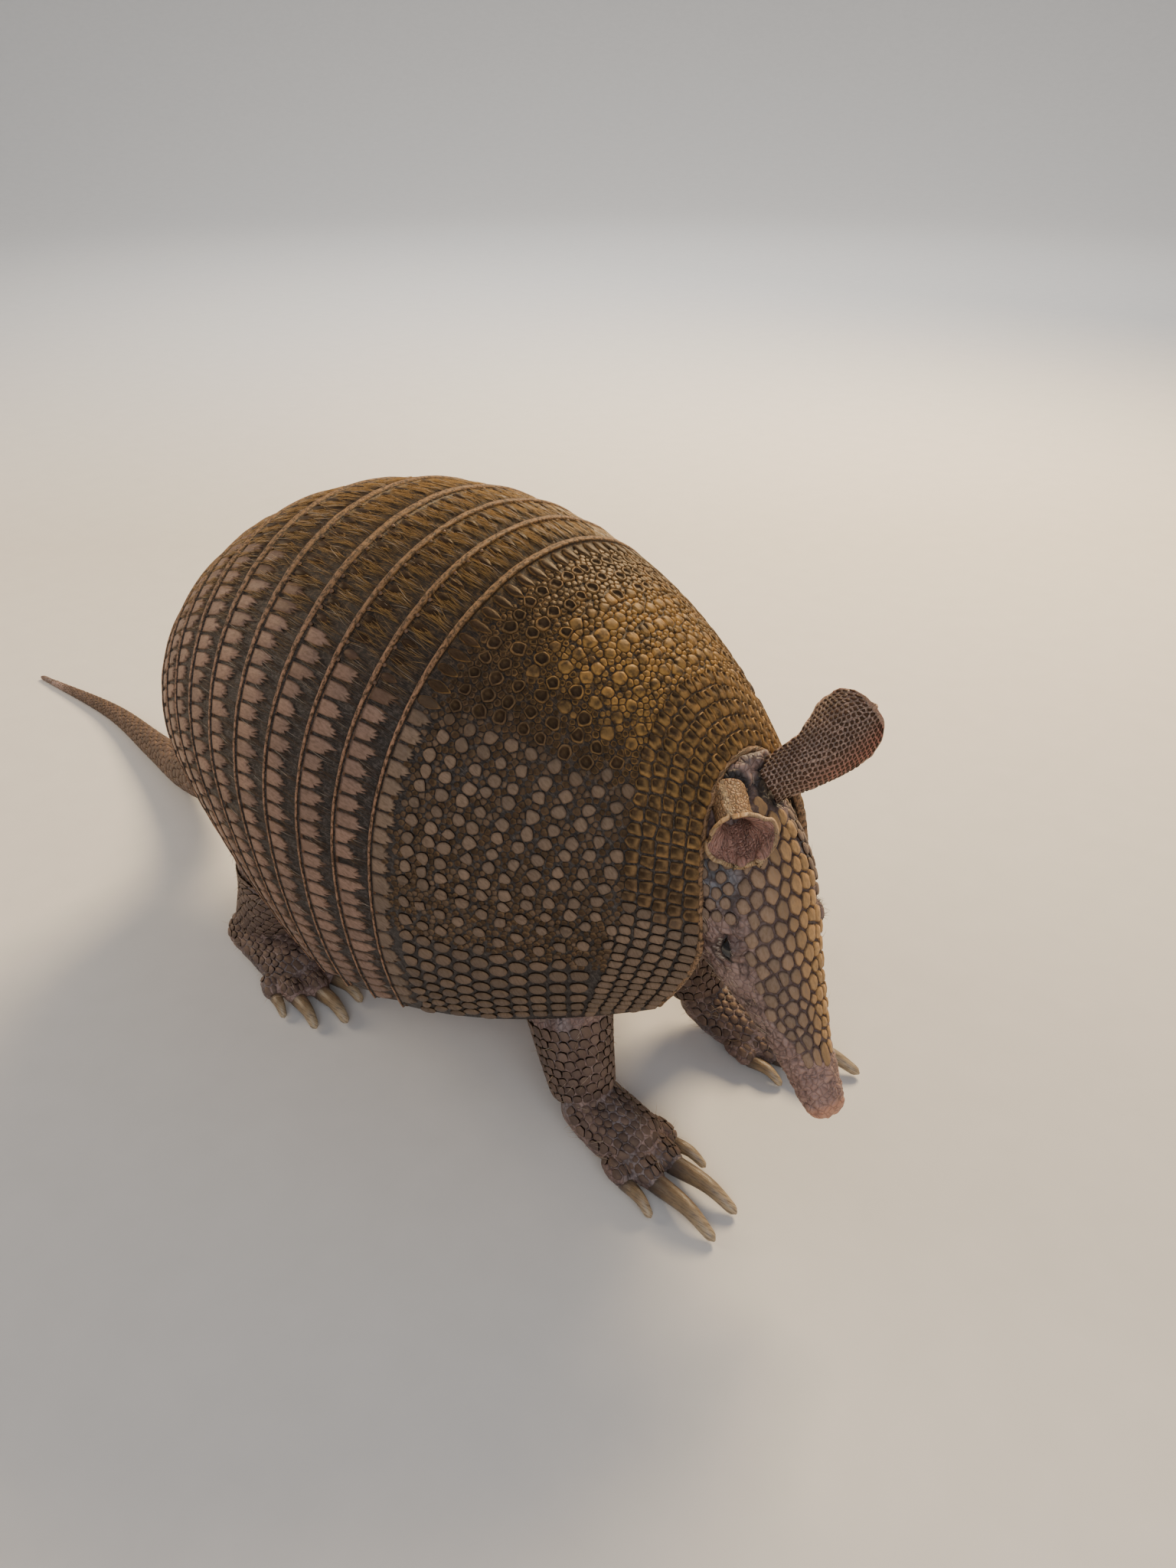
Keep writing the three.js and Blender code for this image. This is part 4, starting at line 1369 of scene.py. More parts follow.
@dataclass
class ScapularShield:
    """The front shield: a plate, bosses among pebbles, square collar scales and rim rows."""

    column: float = 5.6 * MM
    row_top: float = 5.5 * MM
    row_flank: float = 5.1 * MM
    row_rim: float = 4.3 * MM
    row_lowest: float = 2.9 * MM
    loose: float = 0.42 * MM
    first_column: float = 11.2 * MM
    edge_pitch: float = 5.35 * MM
    # How golden a scale must be to take the gilt shape, painted warm highlight.
    highlit_gilt_above: float = 0.72
    boss_height: float = 1.05 * MM
    scale_height: float = 0.95 * MM
    collar_top: float = 3.6
    collar_low: float = 2.7
    collar_columns: int = 5
    collar_pitch: float = 3.9 * MM
    pebble: float = 1.62 * MM
    tries: int = 60000

    def sites(self) -> list[Site]:
        """Where each scale of the shield sits."""
        rng = np.random.default_rng(11)
        found: list[Site] = []
        rear = SHELL.first_edge
        widest = SHELL.collar(math.pi / 2)
        for k in range(int((widest - rear) / self.column) + 1):
            u = rear + self.first_column + k * self.column
            reach = SHELL.reach_at(u, 1.0)
            for side in (-1, 1):
                w = (0.25 + 0.5 * (k % 2)) * self.row_top / reach
                while w < SHELL.rim - 1.2 * MM / reach:
                    rim = SHELL.edge_scale(w)
                    step = mix(mix(self.row_top, self.row_flank, swept(25, 60, w)), self.row_rim, rim)
                    step = mix(step, self.row_lowest, SHELL.lowest(w))
                    loose = (1 - rim) * self.loose
                    at_u = u + rng.normal() * loose
                    at_w = w + rng.normal() * loose / reach
                    w += step / reach
                    if at_u > SHELL.collar(at_w) - self.collar_columns * self.collar_pitch - 1.0 * MM:
                        continue
                    depth = self.paleness(at_u, at_w)
                    pale = float(depth > 0)
                    site = Site(at_u, side * at_w, rng.uniform(1.75, 2.2) * MM, self.boss_height, BOSS)
                    faint = mix(rng.uniform(0.3, 0.8), rng.uniform(0.8, 1.0), smooth(2, 16, depth))
                    site.marks = (pale * float(faint), rng.random(), self.gilding_and_highlight(at_u, at_w))
                    if pale < 0.5:
                        self.gild_highlit(site, RING, 0.12 * MM, rng)
                    elif rim > 0.1:
                        site.radius = mix(site.radius, step * 0.46, rim)
                        site.stretch = mix(1.0, 5.2 * MM / step, rim)
                        site.gap = mix(0.32, 0.75, rim) * MM
                        site.marks = (mix(float(faint), 0.72, rim), rng.random(), 0.0)
                    found.append(site)
        return found + self.collar(rng)

    @staticmethod
    def paleness(u: float, w: float) -> float:
        """How far, in degrees, a place is inside the flank's zone of pale bosses."""
        start = np.interp(u, [44 * MM, 60 * MM, 91 * MM, 108 * MM], [49, 43, 40, 37]) * DEG
        ragged = float(grain(np.array([[u, w * 79 * MM, 0.0]]), 11 * MM, 5)[0]) * 7 * DEG
        return (abs(w) - start - ragged) / DEG

    @staticmethod
    def gilding_and_highlight(u: float, w: float) -> float:
        """How golden the shield is: most along the top, away from the rear edge; partly the horn's own
        tan-gold, partly painted warm highlight.
        """
        return float((1 - swept(18, 50, abs(w))) * mix(0.3, 1.0, smooth(48 * MM, 66 * MM, u)))

    def gild_highlit(self, site: Site, plain: Profile, gap: float, rng: np.random.Generator) -> None:
        """Gives a scale its gilt shape where the shield is golden, its flat top painted with the golden rim
        colour as warm highlight, and else a plain one with this gap.
        """
        gilt_highlight = site.marks[2] > self.highlit_gilt_above + 0.12 * rng.normal()
        site.profile = GILT_HIGHLIGHT if gilt_highlight else plain
        site.gap = 0.2 * MM if gilt_highlight else gap

    def edge_row(self, scales: Scales, rng: np.random.Generator) -> list[Site]:
        """The long scales side by side along the rear edge, and the room that they take."""
        found = []
        u = SHELL.first_edge
        reach = SHELL.reach_at(u, 1.0)
        for side in (-1, 1):
            w = 0.5 * 5.3 * MM / reach
            while w < SHELL.rim - 1.5 * MM / reach:
                pale = swept(46, 56, w)
                low = mix(1.0, 0.72, swept(100, 122, w))
                roll = mix(2.5, 1.1, SHELL.flank(w)) * MM
                half = mix(1.6, 2.42, pale) * low * MM
                reach_u = rng.uniform(6.0, 7.2) * MM
                outline = (tooth if pale > 0.4 else almond)(roll, reach_u, half, rng)
                marks = pale * 0.95, rng.random(), 0.4 * (1 - pale)
                scales.add(Site(u, side * w, half, self.scale_height, SCUTE, marks), outline, 1.0, reach)
                for part in (2.8, 6.2):
                    found.append(Site(u + part * MM, side * w, 2.0 * MM, shown=False))
                w += self.edge_pitch * low / reach
        return found

    def collar(self, rng: np.random.Generator) -> list[Site]:
        """The squarish scales in columns behind the front edge."""
        found = []
        for k in range(self.collar_columns):
            w = 0.5 * self.collar_top * MM / (70 * MM)
            while w < SHELL.rim - 0.02:
                u = SHELL.collar(w) - (k + 0.55) * self.collar_pitch
                reach = SHELL.reach_at(u, w)
                step = mix(self.collar_top, self.collar_low, swept(98, 120, w)) * MM
                pale = 0.95 * swept(68, 80, w + rng.normal() * 3 * DEG)
                for side in (-1, 1):
                    gold = 0.08 + 0.46 * (1 - swept(20, 72, w)) + 0.12 * rng.random()
                    stray = rng.normal(0, 0.24 * MM, 2)
                    site = Site(
                        u + stray[0], side * w + stray[1] / reach, step * 0.56, self.scale_height, CREST
                    )
                    site.marks = (pale * 0.9, rng.random(), gold)
                    site.stretch = 1.12
                    site.lean = -0.85 * (1 - pale)
                    site.profile = CREST if pale < 0.4 else BOSS
                    site.gap = mix(0.4, 0.6, pale) * MM
                    found.append(site)
                w += step / reach
        return found

    def hem(self) -> None:
        """Builds the thin crinkled roll along the front edge."""
        surface = Hem()
        piece = wrap_tube("scapular_hem", surface, (-SHELL.rim, SHELL.rim), 12, 420)
        places = places_of(piece)
        knobs = grain(places, 1.6 * MM, 15) * 0.3 * MM + grain(places, 5 * MM, 16) * 0.35 * MM
        move_to(piece, places + normals_of(piece) * knobs[:, None])
        add_marks(piece, np.tile([1.0, 0.35, 1.0, 0.5], (len(places), 1)))
        add_lay(piece, places[:, 0], places[:, 2])
        finish_piece(piece, GroundFinish("hem_skin", fibre=(0.40, 0.235, 0.105)).material())

    def build(self) -> None:
        """Builds the plate and its scales."""
        self.hem()
        plate = Plate("scapular_plate", "scapular_shield", SHELL.first_edge, SHELL.collar, 34, 190)
        ground = GroundFinish("shield_ground", rough=0.55).material()
        finish_piece(plate.build(), ground, [plate.node])
        scales = Scales(SHELL, plate.ground + 0.02 * MM, 0.8 * MM)
        rng = np.random.default_rng(12)
        sites = self.sites() + self.edge_row(scales, rng)
        taken = [site.room(0.5 * MM) for site in sites]

        def keep(u: float, w: float) -> bool:
            """Whether a pebble may sit here."""
            front = SHELL.collar(w) - self.collar_columns * self.collar_pitch
            return SHELL.first_edge + 5.2 * MM < u < front and abs(w) < 101 * DEG

        span = (SHELL.first_edge, SHELL.collar(math.pi / 2))
        for u, w in scattered(SHELL, span, (-1.8, 1.8), self.pebble, self.tries, 13, keep, taken):
            flank = self.paleness(u, w) > 0
            site = Site(u, w, rng.uniform(0.6, 1.05) * MM, 0.85 * MM)
            site.marks = 0.0, rng.random(), self.gilding_and_highlight(u, w)
            self.gild_highlit(site, LINK, 0.1 * MM, rng)
            if flank:
                site.profile = PEBBLE
                site.height = rng.uniform(0.4, 0.8) * MM
                site.marks = (0.05 + 0.55 * rng.random() ** 3, rng.random(), 0.1)
                site.gap = 0.16 * MM
            sites.append(site)
        scales.fill(sites, False)
        piece = scales.build("scapular_scales", span, (-SHELL.rim, SHELL.rim))
        finish_piece(piece, HORN.material())


@dataclass(frozen=True)
class BandSheet(Surface):
    """The shell over one band, which sinks forwards under the plate before it."""

    rear: float
    front: float

    def at(self, u: Array, w: Array) -> Array:
        """The band's places."""
        return SHELL.lifted(u, w, -SHELL.step * np.clip((u - self.rear) / (self.front - self.rear), 0, 1))


@dataclass
class Bands:
    """The nine bands: a plate each, with scutes along its rear edge and hairs over it."""

    pitch: float = 5.65 * MM
    overlap: float = 1.5 * MM
    tuck: float = 1.3 * MM
    tooth: float = 9.0 * MM
    half_tooth: float = 2.45 * MM
    almond: float = 4.8 * MM
    half_almond: float = 1.35 * MM
    top_hairs: int = 900
    flank_hairs: int = 198
    hair_spread: float = 33 * DEG
    hairs_in_lines: float = 0.84
    hair_run: tuple[float, float] = (4.5 * MM, 9.5 * MM)
    hair_width: tuple[float, float] = (0.12 * MM, 0.21 * MM)
    pale_hairs: float = 0.10
    hair_sunk: float = 0.55 * MM
    flank_from: float = 46 * DEG
    girth: float = 76 * MM

    @staticmethod
    def pale_from(u: float) -> float:
        """How far round from the ridge the pale scutes start on the band at u."""
        edges = np.array([-85, -60, -19, 4, 31]) * MM
        return float(np.interp(u, edges, [10, 19, 40, 50, 51])) * DEG

    def scutes(self, scales: Scales, rear: float, length: float, seed: int) -> None:
        """Adds one band's scutes.

        Args:
            scales: What they are added to.
            rear: Where the band's rear edge is.
            length: How long the band is.
            seed: Which of the random orders to take.
        """
        rng = np.random.default_rng(seed)
        start = self.pale_from(rear)
        for side in (-1, 1):
            w = 0.5 * self.pitch / (78 * MM)
            while w < SHELL.rim - 0.02:
                reach_w = SHELL.reach_at(rear, w)
                pale = swept(-7, 7, w - start + rng.normal() * 4 * DEG)
                gold = 1 - swept(20, 60, w)
                low = mix(1.0, 0.8, swept(100, 122, w))
                roll = mix(2.4, 1.1, SHELL.flank(w)) * MM
                if pale > 0.3:
                    reach = min(self.tooth, length * 0.8) * rng.uniform(0.82, 1.1)
                    half = self.half_tooth * low * mix(0.72, 1.0, pale)
                    height = 0.85 * MM
                    outline = tooth(roll, reach, half, rng)
                else:
                    half = self.half_almond
                    height = 1.05 * MM
                    outline = almond(roll + 0.4 * MM, self.almond * rng.uniform(0.85, 1.2), half, rng)
                marks = pale, rng.random(), gold * (0.3 if pale < 0.3 else 1)
                site = Site(rear, side * w, half, height, SCUTE, marks)
                scales.add(site, outline, 1.0, reach_w)
                if pale <= 0.3 and w > 8 * DEG:
                    turns = np.arange(0, 6.2, 1.05)
                    bead = [
                        (roll - 0.3 * MM + 0.9 * MM * math.cos(a), 0.75 * MM * math.sin(a)) for a in turns
                    ]
                    between = side * (w + 0.5 * self.pitch / reach_w)
                    site = Site(rear, between, half, 0.8 * MM, TILE, (0.5, rng.random(), gold))
                    scales.add(site, bead, 1.0, reach_w)
                w += self.pitch * low / reach_w

    def hairs(self, strands: Strands, sheet: BandSheet, seed: int) -> None:
        """Adds the hairs that lie back over one band.

        Args:
            strands: What they are added to.
            sheet: The band's surface.
            seed: Which of the random orders to take.
        """
        rng = np.random.default_rng(seed)
        length = sheet.front - sheet.rear
        top = rng.normal(0, self.hair_spread, self.top_hairs)
        step = self.pitch / SHELL.reach_at(sheet.rear, 0.6)
        lined = rng.random(len(top)) < self.hairs_in_lines
        top = np.where(lined, (np.rint(top / step) + rng.normal(0, 0.17, len(top))) * step, top)
        flank = np.concatenate(
            [rng.uniform(40 * DEG, SHELL.rim - 0.03, self.flank_hairs) * side for side in (-1, 1)]
        )
        pitch = self.pitch / self.girth
        flank = np.floor(flank / pitch) * pitch + rng.normal(0, 0.07, len(flank)) * pitch * 2.4
        w = np.concatenate([top, flank])
        w = w[np.abs(w) < SHELL.rim - 0.02]
        count = len(w)
        flanked = np.abs(w) > self.flank_from
        root = sheet.front - rng.uniform(-0.5 * MM, length * 0.45, count)
        run = np.minimum(rng.uniform(*self.hair_run, count), root - sheet.rear - 0.2 * MM)
        drift = rng.normal(0, 0.09, count) * np.where(flanked, 0.5, 1.0)
        drift -= 0.10 * np.sign(w) * swept(0, 60, np.abs(w))
        rise = np.where(flanked, 0.35 * MM, 0.7 * MM) * rng.uniform(0.4, 1.6, count)
        lines = []
        for t in strands.steps():
            bow = rise * math.sin(math.pi * min(t + 0.12, 1)) + 0.25 * MM * t
            lines.append(
                sheet.lifted(root - run * t, w + drift * run * t / self.girth * (1 + t), bow - self.hair_sunk)
            )
        _, normals, _, _ = sheet.around(root, w)
        gold = 1 - swept(30, 62, np.abs(w))
        pale = np.where(rng.random(count) < self.pale_hairs, 0.7, 0.0)
        marks = columns(pale, rng.random(count), gold)
        patch = columns(0.02 + 0.96 * (root - SHELL.edges()[-1]) / 125 / MM, 0.5 + 0.47 * w / SHELL.rim)
        thick = rng.uniform(*self.hair_width, count) * np.where(flanked, 0.8, 1.0)
        strands.add(columns(*lines), normals, thick, marks, patch)

    def build(self) -> None:
        """Builds every band, then the scutes and the hairs over them."""
        edges = SHELL.edges()
        ground = GroundFinish("band_ground").material()
        scales = Scales(SHELL, 0.77 * MM, 0)
        for k in range(SHELL.bands):
            front, rear = edges[k], edges[k + 1]
            reach = front + self.overlap
            plate = Plate(f"band_plate_{k + 1}", f"band_{k + 1}", rear, straight(reach), 8, tuck=self.tuck)
            finish_piece(plate.build(), ground, [plate.node])
            scales.use(BandSheet(rear, front))
            self.scutes(scales, rear, front - rear, 20 + k)
        piece = scales.build("band_scutes", (edges[-1], edges[0]), (-SHELL.rim, SHELL.rim))
        finish_piece(piece, BAND_HORN.material())
        for name, span in (("band_hairs_front", range(0, 5)), ("band_hairs_rear", range(5, SHELL.bands))):
            strands = Strands()
            for k in span:
                self.hairs(strands, BandSheet(edges[k + 1], edges[k]), 40 + k)
            finish_piece(strands.build(name), HAIR.material())


@dataclass
class PelvicShield:
    """The rear shield: a plate with bosses in rows among pebbles."""

    length: float = 60.5 * MM
    column: float = 5.7 * MM
    row: float = 5.3 * MM
    row_rim: float = 4.4 * MM
    row_lowest: float = 3.0 * MM
    first_column: float = 5.6 * MM
    pebble: float = 1.7 * MM
    tries: int = 40000

    def build(self) -> None:
        """Builds the plate and its scales."""
        front = SHELL.edges()[-1]
        rear = front - 0.3 * MM - self.length
        plate = Plate("pelvic_plate", "pelvic_shield", rear, straight(front + 1.2 * MM), 30, tuck=1.3 * MM)
        ground = GroundFinish("pelvic_ground", ground=(0.060, 0.040, 0.026)).material()
        finish_piece(plate.build(), ground, [plate.node])
        rng = np.random.default_rng(61)
        sheet = BandSheet(rear, front)
        sites: list[Site] = []
        for k in range(int((front - rear) / self.column)):
            u = rear + self.first_column + k * self.column
            if u > front - 1.5 * MM:
                continue
            for side in (-1, 1):
                w = (0.5 if k % 2 else 0.06) * self.row / (60 * MM)
                while w < SHELL.rim - 0.03:
                    reach = SHELL.reach_at(u, w)
                    rim = SHELL.edge_scale(w)
                    step = mix(mix(self.row, self.row_rim, rim), self.row_lowest, SHELL.lowest(w))
                    pale = smooth(0.2, 0.8, rng.random() * 0.35 + swept(6, 40, w))
                    size = mix(rng.uniform(1.9, 2.3) * MM, step * 0.5, rim)
                    at_u = u + rng.normal() * 0.35 * MM * (1 - rim)
                    site = Site(at_u, side * w, size, 1.0 * MM, BOSS if rim < 0.5 else TILE)
                    site.marks = (pale * 0.92, rng.random(), 0.8 * (1 - swept(30, 100, w)))
                    site.stretch = mix(1.12, 5.3 * MM / step, rim)
                    site.gap = mix(0.3, 0.6, rim) * MM
                    sites.append(site)
                    w += step / reach * (1 + rng.normal() * 0.03)
        taken = [site.room(0.45 * MM) for site in sites]
        span = (rear + 3 * MM, front - 1.0 * MM)

        def keep(_: float, w: float) -> bool:
            """Whether a pebble may sit here."""
            return abs(w) < 100 * DEG

        for u, w in scattered(sheet, span, (-1.8, 1.8), self.pebble, self.tries, 62, keep, taken):
            gold = 1 - swept(30, 90, abs(w))
            radius = rng.uniform(0.7, 1.1) * MM
            sites.append(Site(u, w, radius, 0.7 * MM, PEBBLE, (0.15, rng.random(), gold), gap=0.15 * MM))
        scales = Scales(sheet, plate.ground + 0.02 * MM, 0.8 * MM)
        scales.fill(sites, False)
        piece = scales.build("pelvic_scales", (rear, front), (-SHELL.rim, SHELL.rim))
        finish_piece(piece, HORN.material())


# ---------------------------------------------------------------- flesh


def round_ends(share: Array, radius: Array, ends: float) -> Array:
    """The radius, drawn in over this share of the length at both ends."""
    near = np.clip(np.minimum(share, 1 - share) / ends, 0, 1)
    return radius * np.sqrt(np.maximum(0.06, 1 - (1 - near) ** 2))


def three_radii(radii: Sequence[float], ends: float, inset: float) -> Callable[[Array], Array]:
    """A limb's radius from those at its start, middle and end, less the coat's depth."""
    return lambda t: round_ends(t, np.interp(t, [0, 0.5, 1], radii) * MM - inset, ends)


CLAW_TAPER = 0.52


@dataclass(frozen=True)
class Toe:
    """A toe and its claw, in millimetres."""

    spread: float
    length: float
    radius: float
    claw: float
    claw_radius: float


@dataclass(frozen=True)
class Leg:
    """A leg of the left side, in millimetres from the body's middle."""

    name: str
    route: tuple[tuple[float, float, float], ...]
    radii: tuple[float, float, float]
    sole: tuple[tuple[float, float, float], ...]
    sole_radii: tuple[float, float, float]
    palm: tuple[float, float, float]
    turn: float
    toes: tuple[Toe, ...]
    fan: float = 60
    tip_height: float = 0.9

    def toe_line(self, toe: Toe) -> tuple[Array, Array, Array]:
        """A toe's root, its tip and its claw's tip."""
        turn = self.turn + toe.spread / self.fan
        way = np.array([math.cos(turn), math.sin(turn), 0])
        root = np.array(self.palm) + [0, toe.spread, 0]
        tip = root + way * toe.length
        tip[2] = -ORIGIN[2] / MM + toe.radius * self.tip_height
        point = tip + way * toe.claw
        point[2] = -ORIGIN[2] / MM + toe.claw_radius * (1 - CLAW_TAPER) + 0.25
        return root, tip, point

    def tubes(self, side: int, inset: float) -> dict[str, Tube]:
        """The leg's surfaces on one side: shank, sole and toes."""
        found = {
            "shank": Tube(self.route, three_radii(self.radii, 0.12, inset), 1.0, side),
            "sole": Tube(self.sole, three_radii(self.sole_radii, 0.22, inset), 0.78, side),
        }
        for k, toe in enumerate(self.toes):
            root, tip, _ = self.toe_line(toe)
            middle = (root + tip) / 2 + [0, 0, 1.6]
            radii = (toe.radius * 0.96, toe.radius * 1.02, toe.radius)
            found[f"toe_{k + 1}"] = Tube(
                (root, middle, tip), three_radii(radii, 0.34, inset * 0.6), 1.0, side
            )
        return found


FRONT_LEG = Leg(
    "front",
    ((70, 27, -46), (77, 31, -70), (84, 33, -97)),
    (17, 13.5, 10.5),
    ((78, 33, -92), (92, 33.6, -99), (113, 34.5, -103.5)),
    (10.5, 12.2, 11.6),
    (101, 34, -103.5),
    6 * DEG,
    (
        Toe(-9.6, 13, 4.2, 12, 2.4),
        Toe(-3.7, 21, 5.0, 22, 3.3),
        Toe(3.5, 21, 5.0, 23, 3.3),
        Toe(9.6, 12, 4.3, 12, 2.5),
    ),
)
HIND_LEG = Leg(
    "hind",
    ((-66, 33, -40), (-59, 38, -64), (-76, 42.5, -98)),
    (23, 18, 11),
    ((-89, 42.5, -98), (-66, 44.6, -101), (-39, 47, -103.5)),
    (12, 13.2, 13.6),
    (-54, 46, -103.5),
    9 * DEG,
    (
        Toe(-12.2, 13, 4.1, 9, 2.4),
        Toe(-6.6, 21, 4.8, 13, 3.0),
        Toe(0.0, 24, 5.1, 15, 3.2),
        Toe(6.6, 20, 4.8, 13, 3.0),
        Toe(12.2, 10, 4.1, 9, 2.4),
    ),
)
SIDES = {"right": -1, "left": 1}
# Every leg with its side's name, and -1 for the right or 1 for the left.
LIMBS = [(leg, name, side) for leg in (FRONT_LEG, HIND_LEG) for name, side in SIDES.items()]


@dataclass(frozen=True)
class TailSpec:
    """The tail, in millimetres from the body's middle."""

    route: tuple[tuple[float, float, float], ...] = (
        (-127.5, 0, -51.5),
        (-142, 1, -70),
        (-164, 3, -86),
        (-198, 8, -97),
        (-242, 17, -102.6),
        (-300, 27, -106.2),
        (-376, 27, -108.6),
    )
    root_radius: float = 15
    tip_radius: float = 1.7
    taper: float = 0.72

    def surface(self, inset: float) -> Tube:
        """The tail's surface, less the coat's depth."""

        def radius_at(share: Array) -> Array:
            """The tail's radius at a share of its length."""
            radius = mix(self.root_radius, self.tip_radius, share**self.taper) * MM
            return radius - inset * np.minimum(1, radius / (5 * MM))

        return Tube(self.route, radius_at)


TAIL = TailSpec()


@dataclass(frozen=True)
class Trunk(Surface):
    """The trunk under the shell, and its belly. w is 0 on the back; u is the shell's own."""

    inset: float = 4.6 * MM
    sag: float = 9 * MM
    arch: float = 0.7

    def at(self, u: Array, w: Array) -> Array:
        """The trunk's places."""
        w = (w + math.pi) % (2 * math.pi) - math.pi
        limit = self.arch * math.pi
        phi = np.clip(w / limit, -1, 1) * SHELL.rim
        arch = SHELL.lifted(u, phi, -self.inset)
        share = np.clip((np.abs(w) - limit) / (math.pi - limit), 0, 1)[:, None] / 2
        ends = [SHELL.lifted(u, np.full(len(u), side * SHELL.rim), -self.inset) for side in (1, -1)]
        near = np.where((w > 0)[:, None], ends[0], ends[1])
        far = np.where((w > 0)[:, None], ends[1], ends[0])
        belly = mix(near, far, share) - np.array([0, 0, 1]) * (self.sag * np.sin(math.pi * share))
        return np.where(share > 0, belly, arch)


def under_shell(places: Array, depth: float) -> Array:
    """Which places the shell hides, down to this far under its centre line."""
    x, _, z = (places - ORIGIN).T
    return (x < 84 * MM) & (x > -118 * MM) & (z > -depth)


@dataclass
class Skin:
    """All the flesh in one skin: trunk, neck, head, legs, feet and tail."""

    voxel: float = 1.25 * MM
    depth: float = 0.8 * MM
    most: int = 188000
    muzzle: float = 0.74
    trunk: Trunk = Trunk()

    def parts(self) -> list[Piece]:
        """Closed tubes for every part of the body, before they are made one."""
        found = [wrap_tube("flesh_trunk", self.trunk, (-141 * MM, 112 * MM), 96, 64)]
        neck = NeckSurface(self.depth)
        found.append(wrap_tube("flesh_neck", neck, (-0.16 * HEAD.length, 0.12 * HEAD.length), 48, 10))
        found.append(wrap_tube("flesh_head", Inner(HEAD, self.depth), (0.0, 1.01 * HEAD.length), 64, 60))
        for leg, name, side in LIMBS:
            for part, tube in leg.tubes(side, self.depth).items():
                sides, rings = (20, 14) if part.startswith("toe") else (36, 30)
                found.append(
                    wrap_tube(f"flesh_{leg.name}_{name}_{part}", tube, (0, tube.length), sides, rings)
                )
        tail = TAIL.surface(0.75 * MM)
        found.append(wrap_tube("flesh_tail", tail, (0, tail.length), 28, 170))
        for piece in found:
            keep_off_floor(piece)
            select_only(piece)
            bpy.ops.object.mode_set(mode="EDIT")
            bpy.ops.mesh.select_all(action="SELECT")
            bpy.ops.mesh.normals_make_consistent(inside=False)
            bpy.ops.object.mode_set(mode="OBJECT")
        return found

    def build(self) -> Piece:
        """Makes the parts one, thins what the shell covers, and shapes the rest."""
        piece = join("skin", self.parts())
        piece.data.remesh_voxel_size = self.voxel
        piece.data.use_remesh_preserve_volume = True
        select_only(piece)
        bpy.ops.object.voxel_remesh()
        apply_modifier(piece, "SMOOTH", factor=0.5, iterations=4)
        self.tuck_under_shell(piece)
        covered = under_shell(places_of(piece), 36 * MM)
        self.thin(piece, covered, 1 - covered.mean() * 0.9)
        places = places_of(piece)
        along, turn, _ = HEAD.coordinates(places)
        near_head = (along > -0.02) & HEAD.holds(places) & (Flesh.plated(along, turn) < 4 * DEG)
        cut(piece, "VERT", near_head, 1)
        cut(piece, "VERT", self.detailed(piece, 7.2 * MM), 1)
        cut(piece, "VERT", HEAD.from_eyes(places_of(piece)) < 5.0 * MM, 1)
        shape = Flesh(places_of(piece), normals_of(piece))
        shape.shape_head()
        shape.shape_limbs()
        move_to(piece, shape.places)
        add_marks(piece, np.clip(shape.marks, 0, 1))
        triangles = len(piece.data.loops) - 2 * len(piece.data.polygons)
        self.thin(piece, ~self.detailed(piece, 6.5 * MM), min(1.0, self.most / triangles))
        return piece

    def detailed(self, piece: Piece, reach: float) -> Array:
        """Which vertices are within reach of an eye, or on the muzzle."""
        places = places_of(piece)
        along, _, _ = HEAD.coordinates(places)
        return (HEAD.from_eyes(places) < reach) | ((along > self.muzzle) & HEAD.holds(places))

    @staticmethod
    def thin(piece: Piece, chosen: Array, ratio: float) -> None:
        """Leaves this ratio of the faces, taking them from the chosen vertices."""
        group = piece.vertex_groups.new(name="thinned")
        group.add(np.flatnonzero(chosen).tolist(), 1.0, "REPLACE")
        apply_modifier(piece, "DECIMATE", ratio=ratio, vertex_group="thinned")
        piece.vertex_groups.clear()

    def tuck_under_shell(self, piece: Piece) -> None:
        """Presses what would stand through the shell back under it."""
        rows, wide = 40, 121
        across = np.linspace(-SHELL.rim, SHELL.rim, wide)
        ends = 40 * MM, SHELL.collar(across) + 0.8 * MM
        sheet = [SHELL.lifted(mix(*ends, share), across, -3.1 * MM) for share in np.linspace(0, 1, rows)]
        corners = [r * wide + c for r in range(rows - 1) for c in range(wide - 1)]
        faces = [(k, k + 1, k + wide + 1, k + wide) for k in corners]
        tree = BVHTree.FromPolygons(np.concatenate(sheet).tolist(), faces)
        places = places_of(piece)
        centre = ORIGIN + np.array([60 * MM, 0, -10 * MM])
        for index in np.flatnonzero(places[:, 0] > ORIGIN[0] + 70 * MM):
            found, normal, _, distance = tree.find_nearest(Vector(places[index]), 14 * MM)
            if found is None:
                continue
            found, normal = np.array(found), np.array(normal)
            if normal @ (found - centre) < 0:
                normal = -normal
            height = (places[index] - found) @ normal
            if height > -0.4 * MM and math.sqrt(max(distance**2 - height**2, 0)) < 1.2 * MM:
                places[index] = found - normal * 0.4 * MM
        move_to(piece, places)


@dataclass(frozen=True)
class Inner(Surface):
    """A surface sunk by a depth."""

    outer: Surface
    depth: float

    def at(self, u: Array, w: Array) -> Array:
        """The places this far under the outer surface."""
        return self.outer.lifted(u, w, -self.depth)


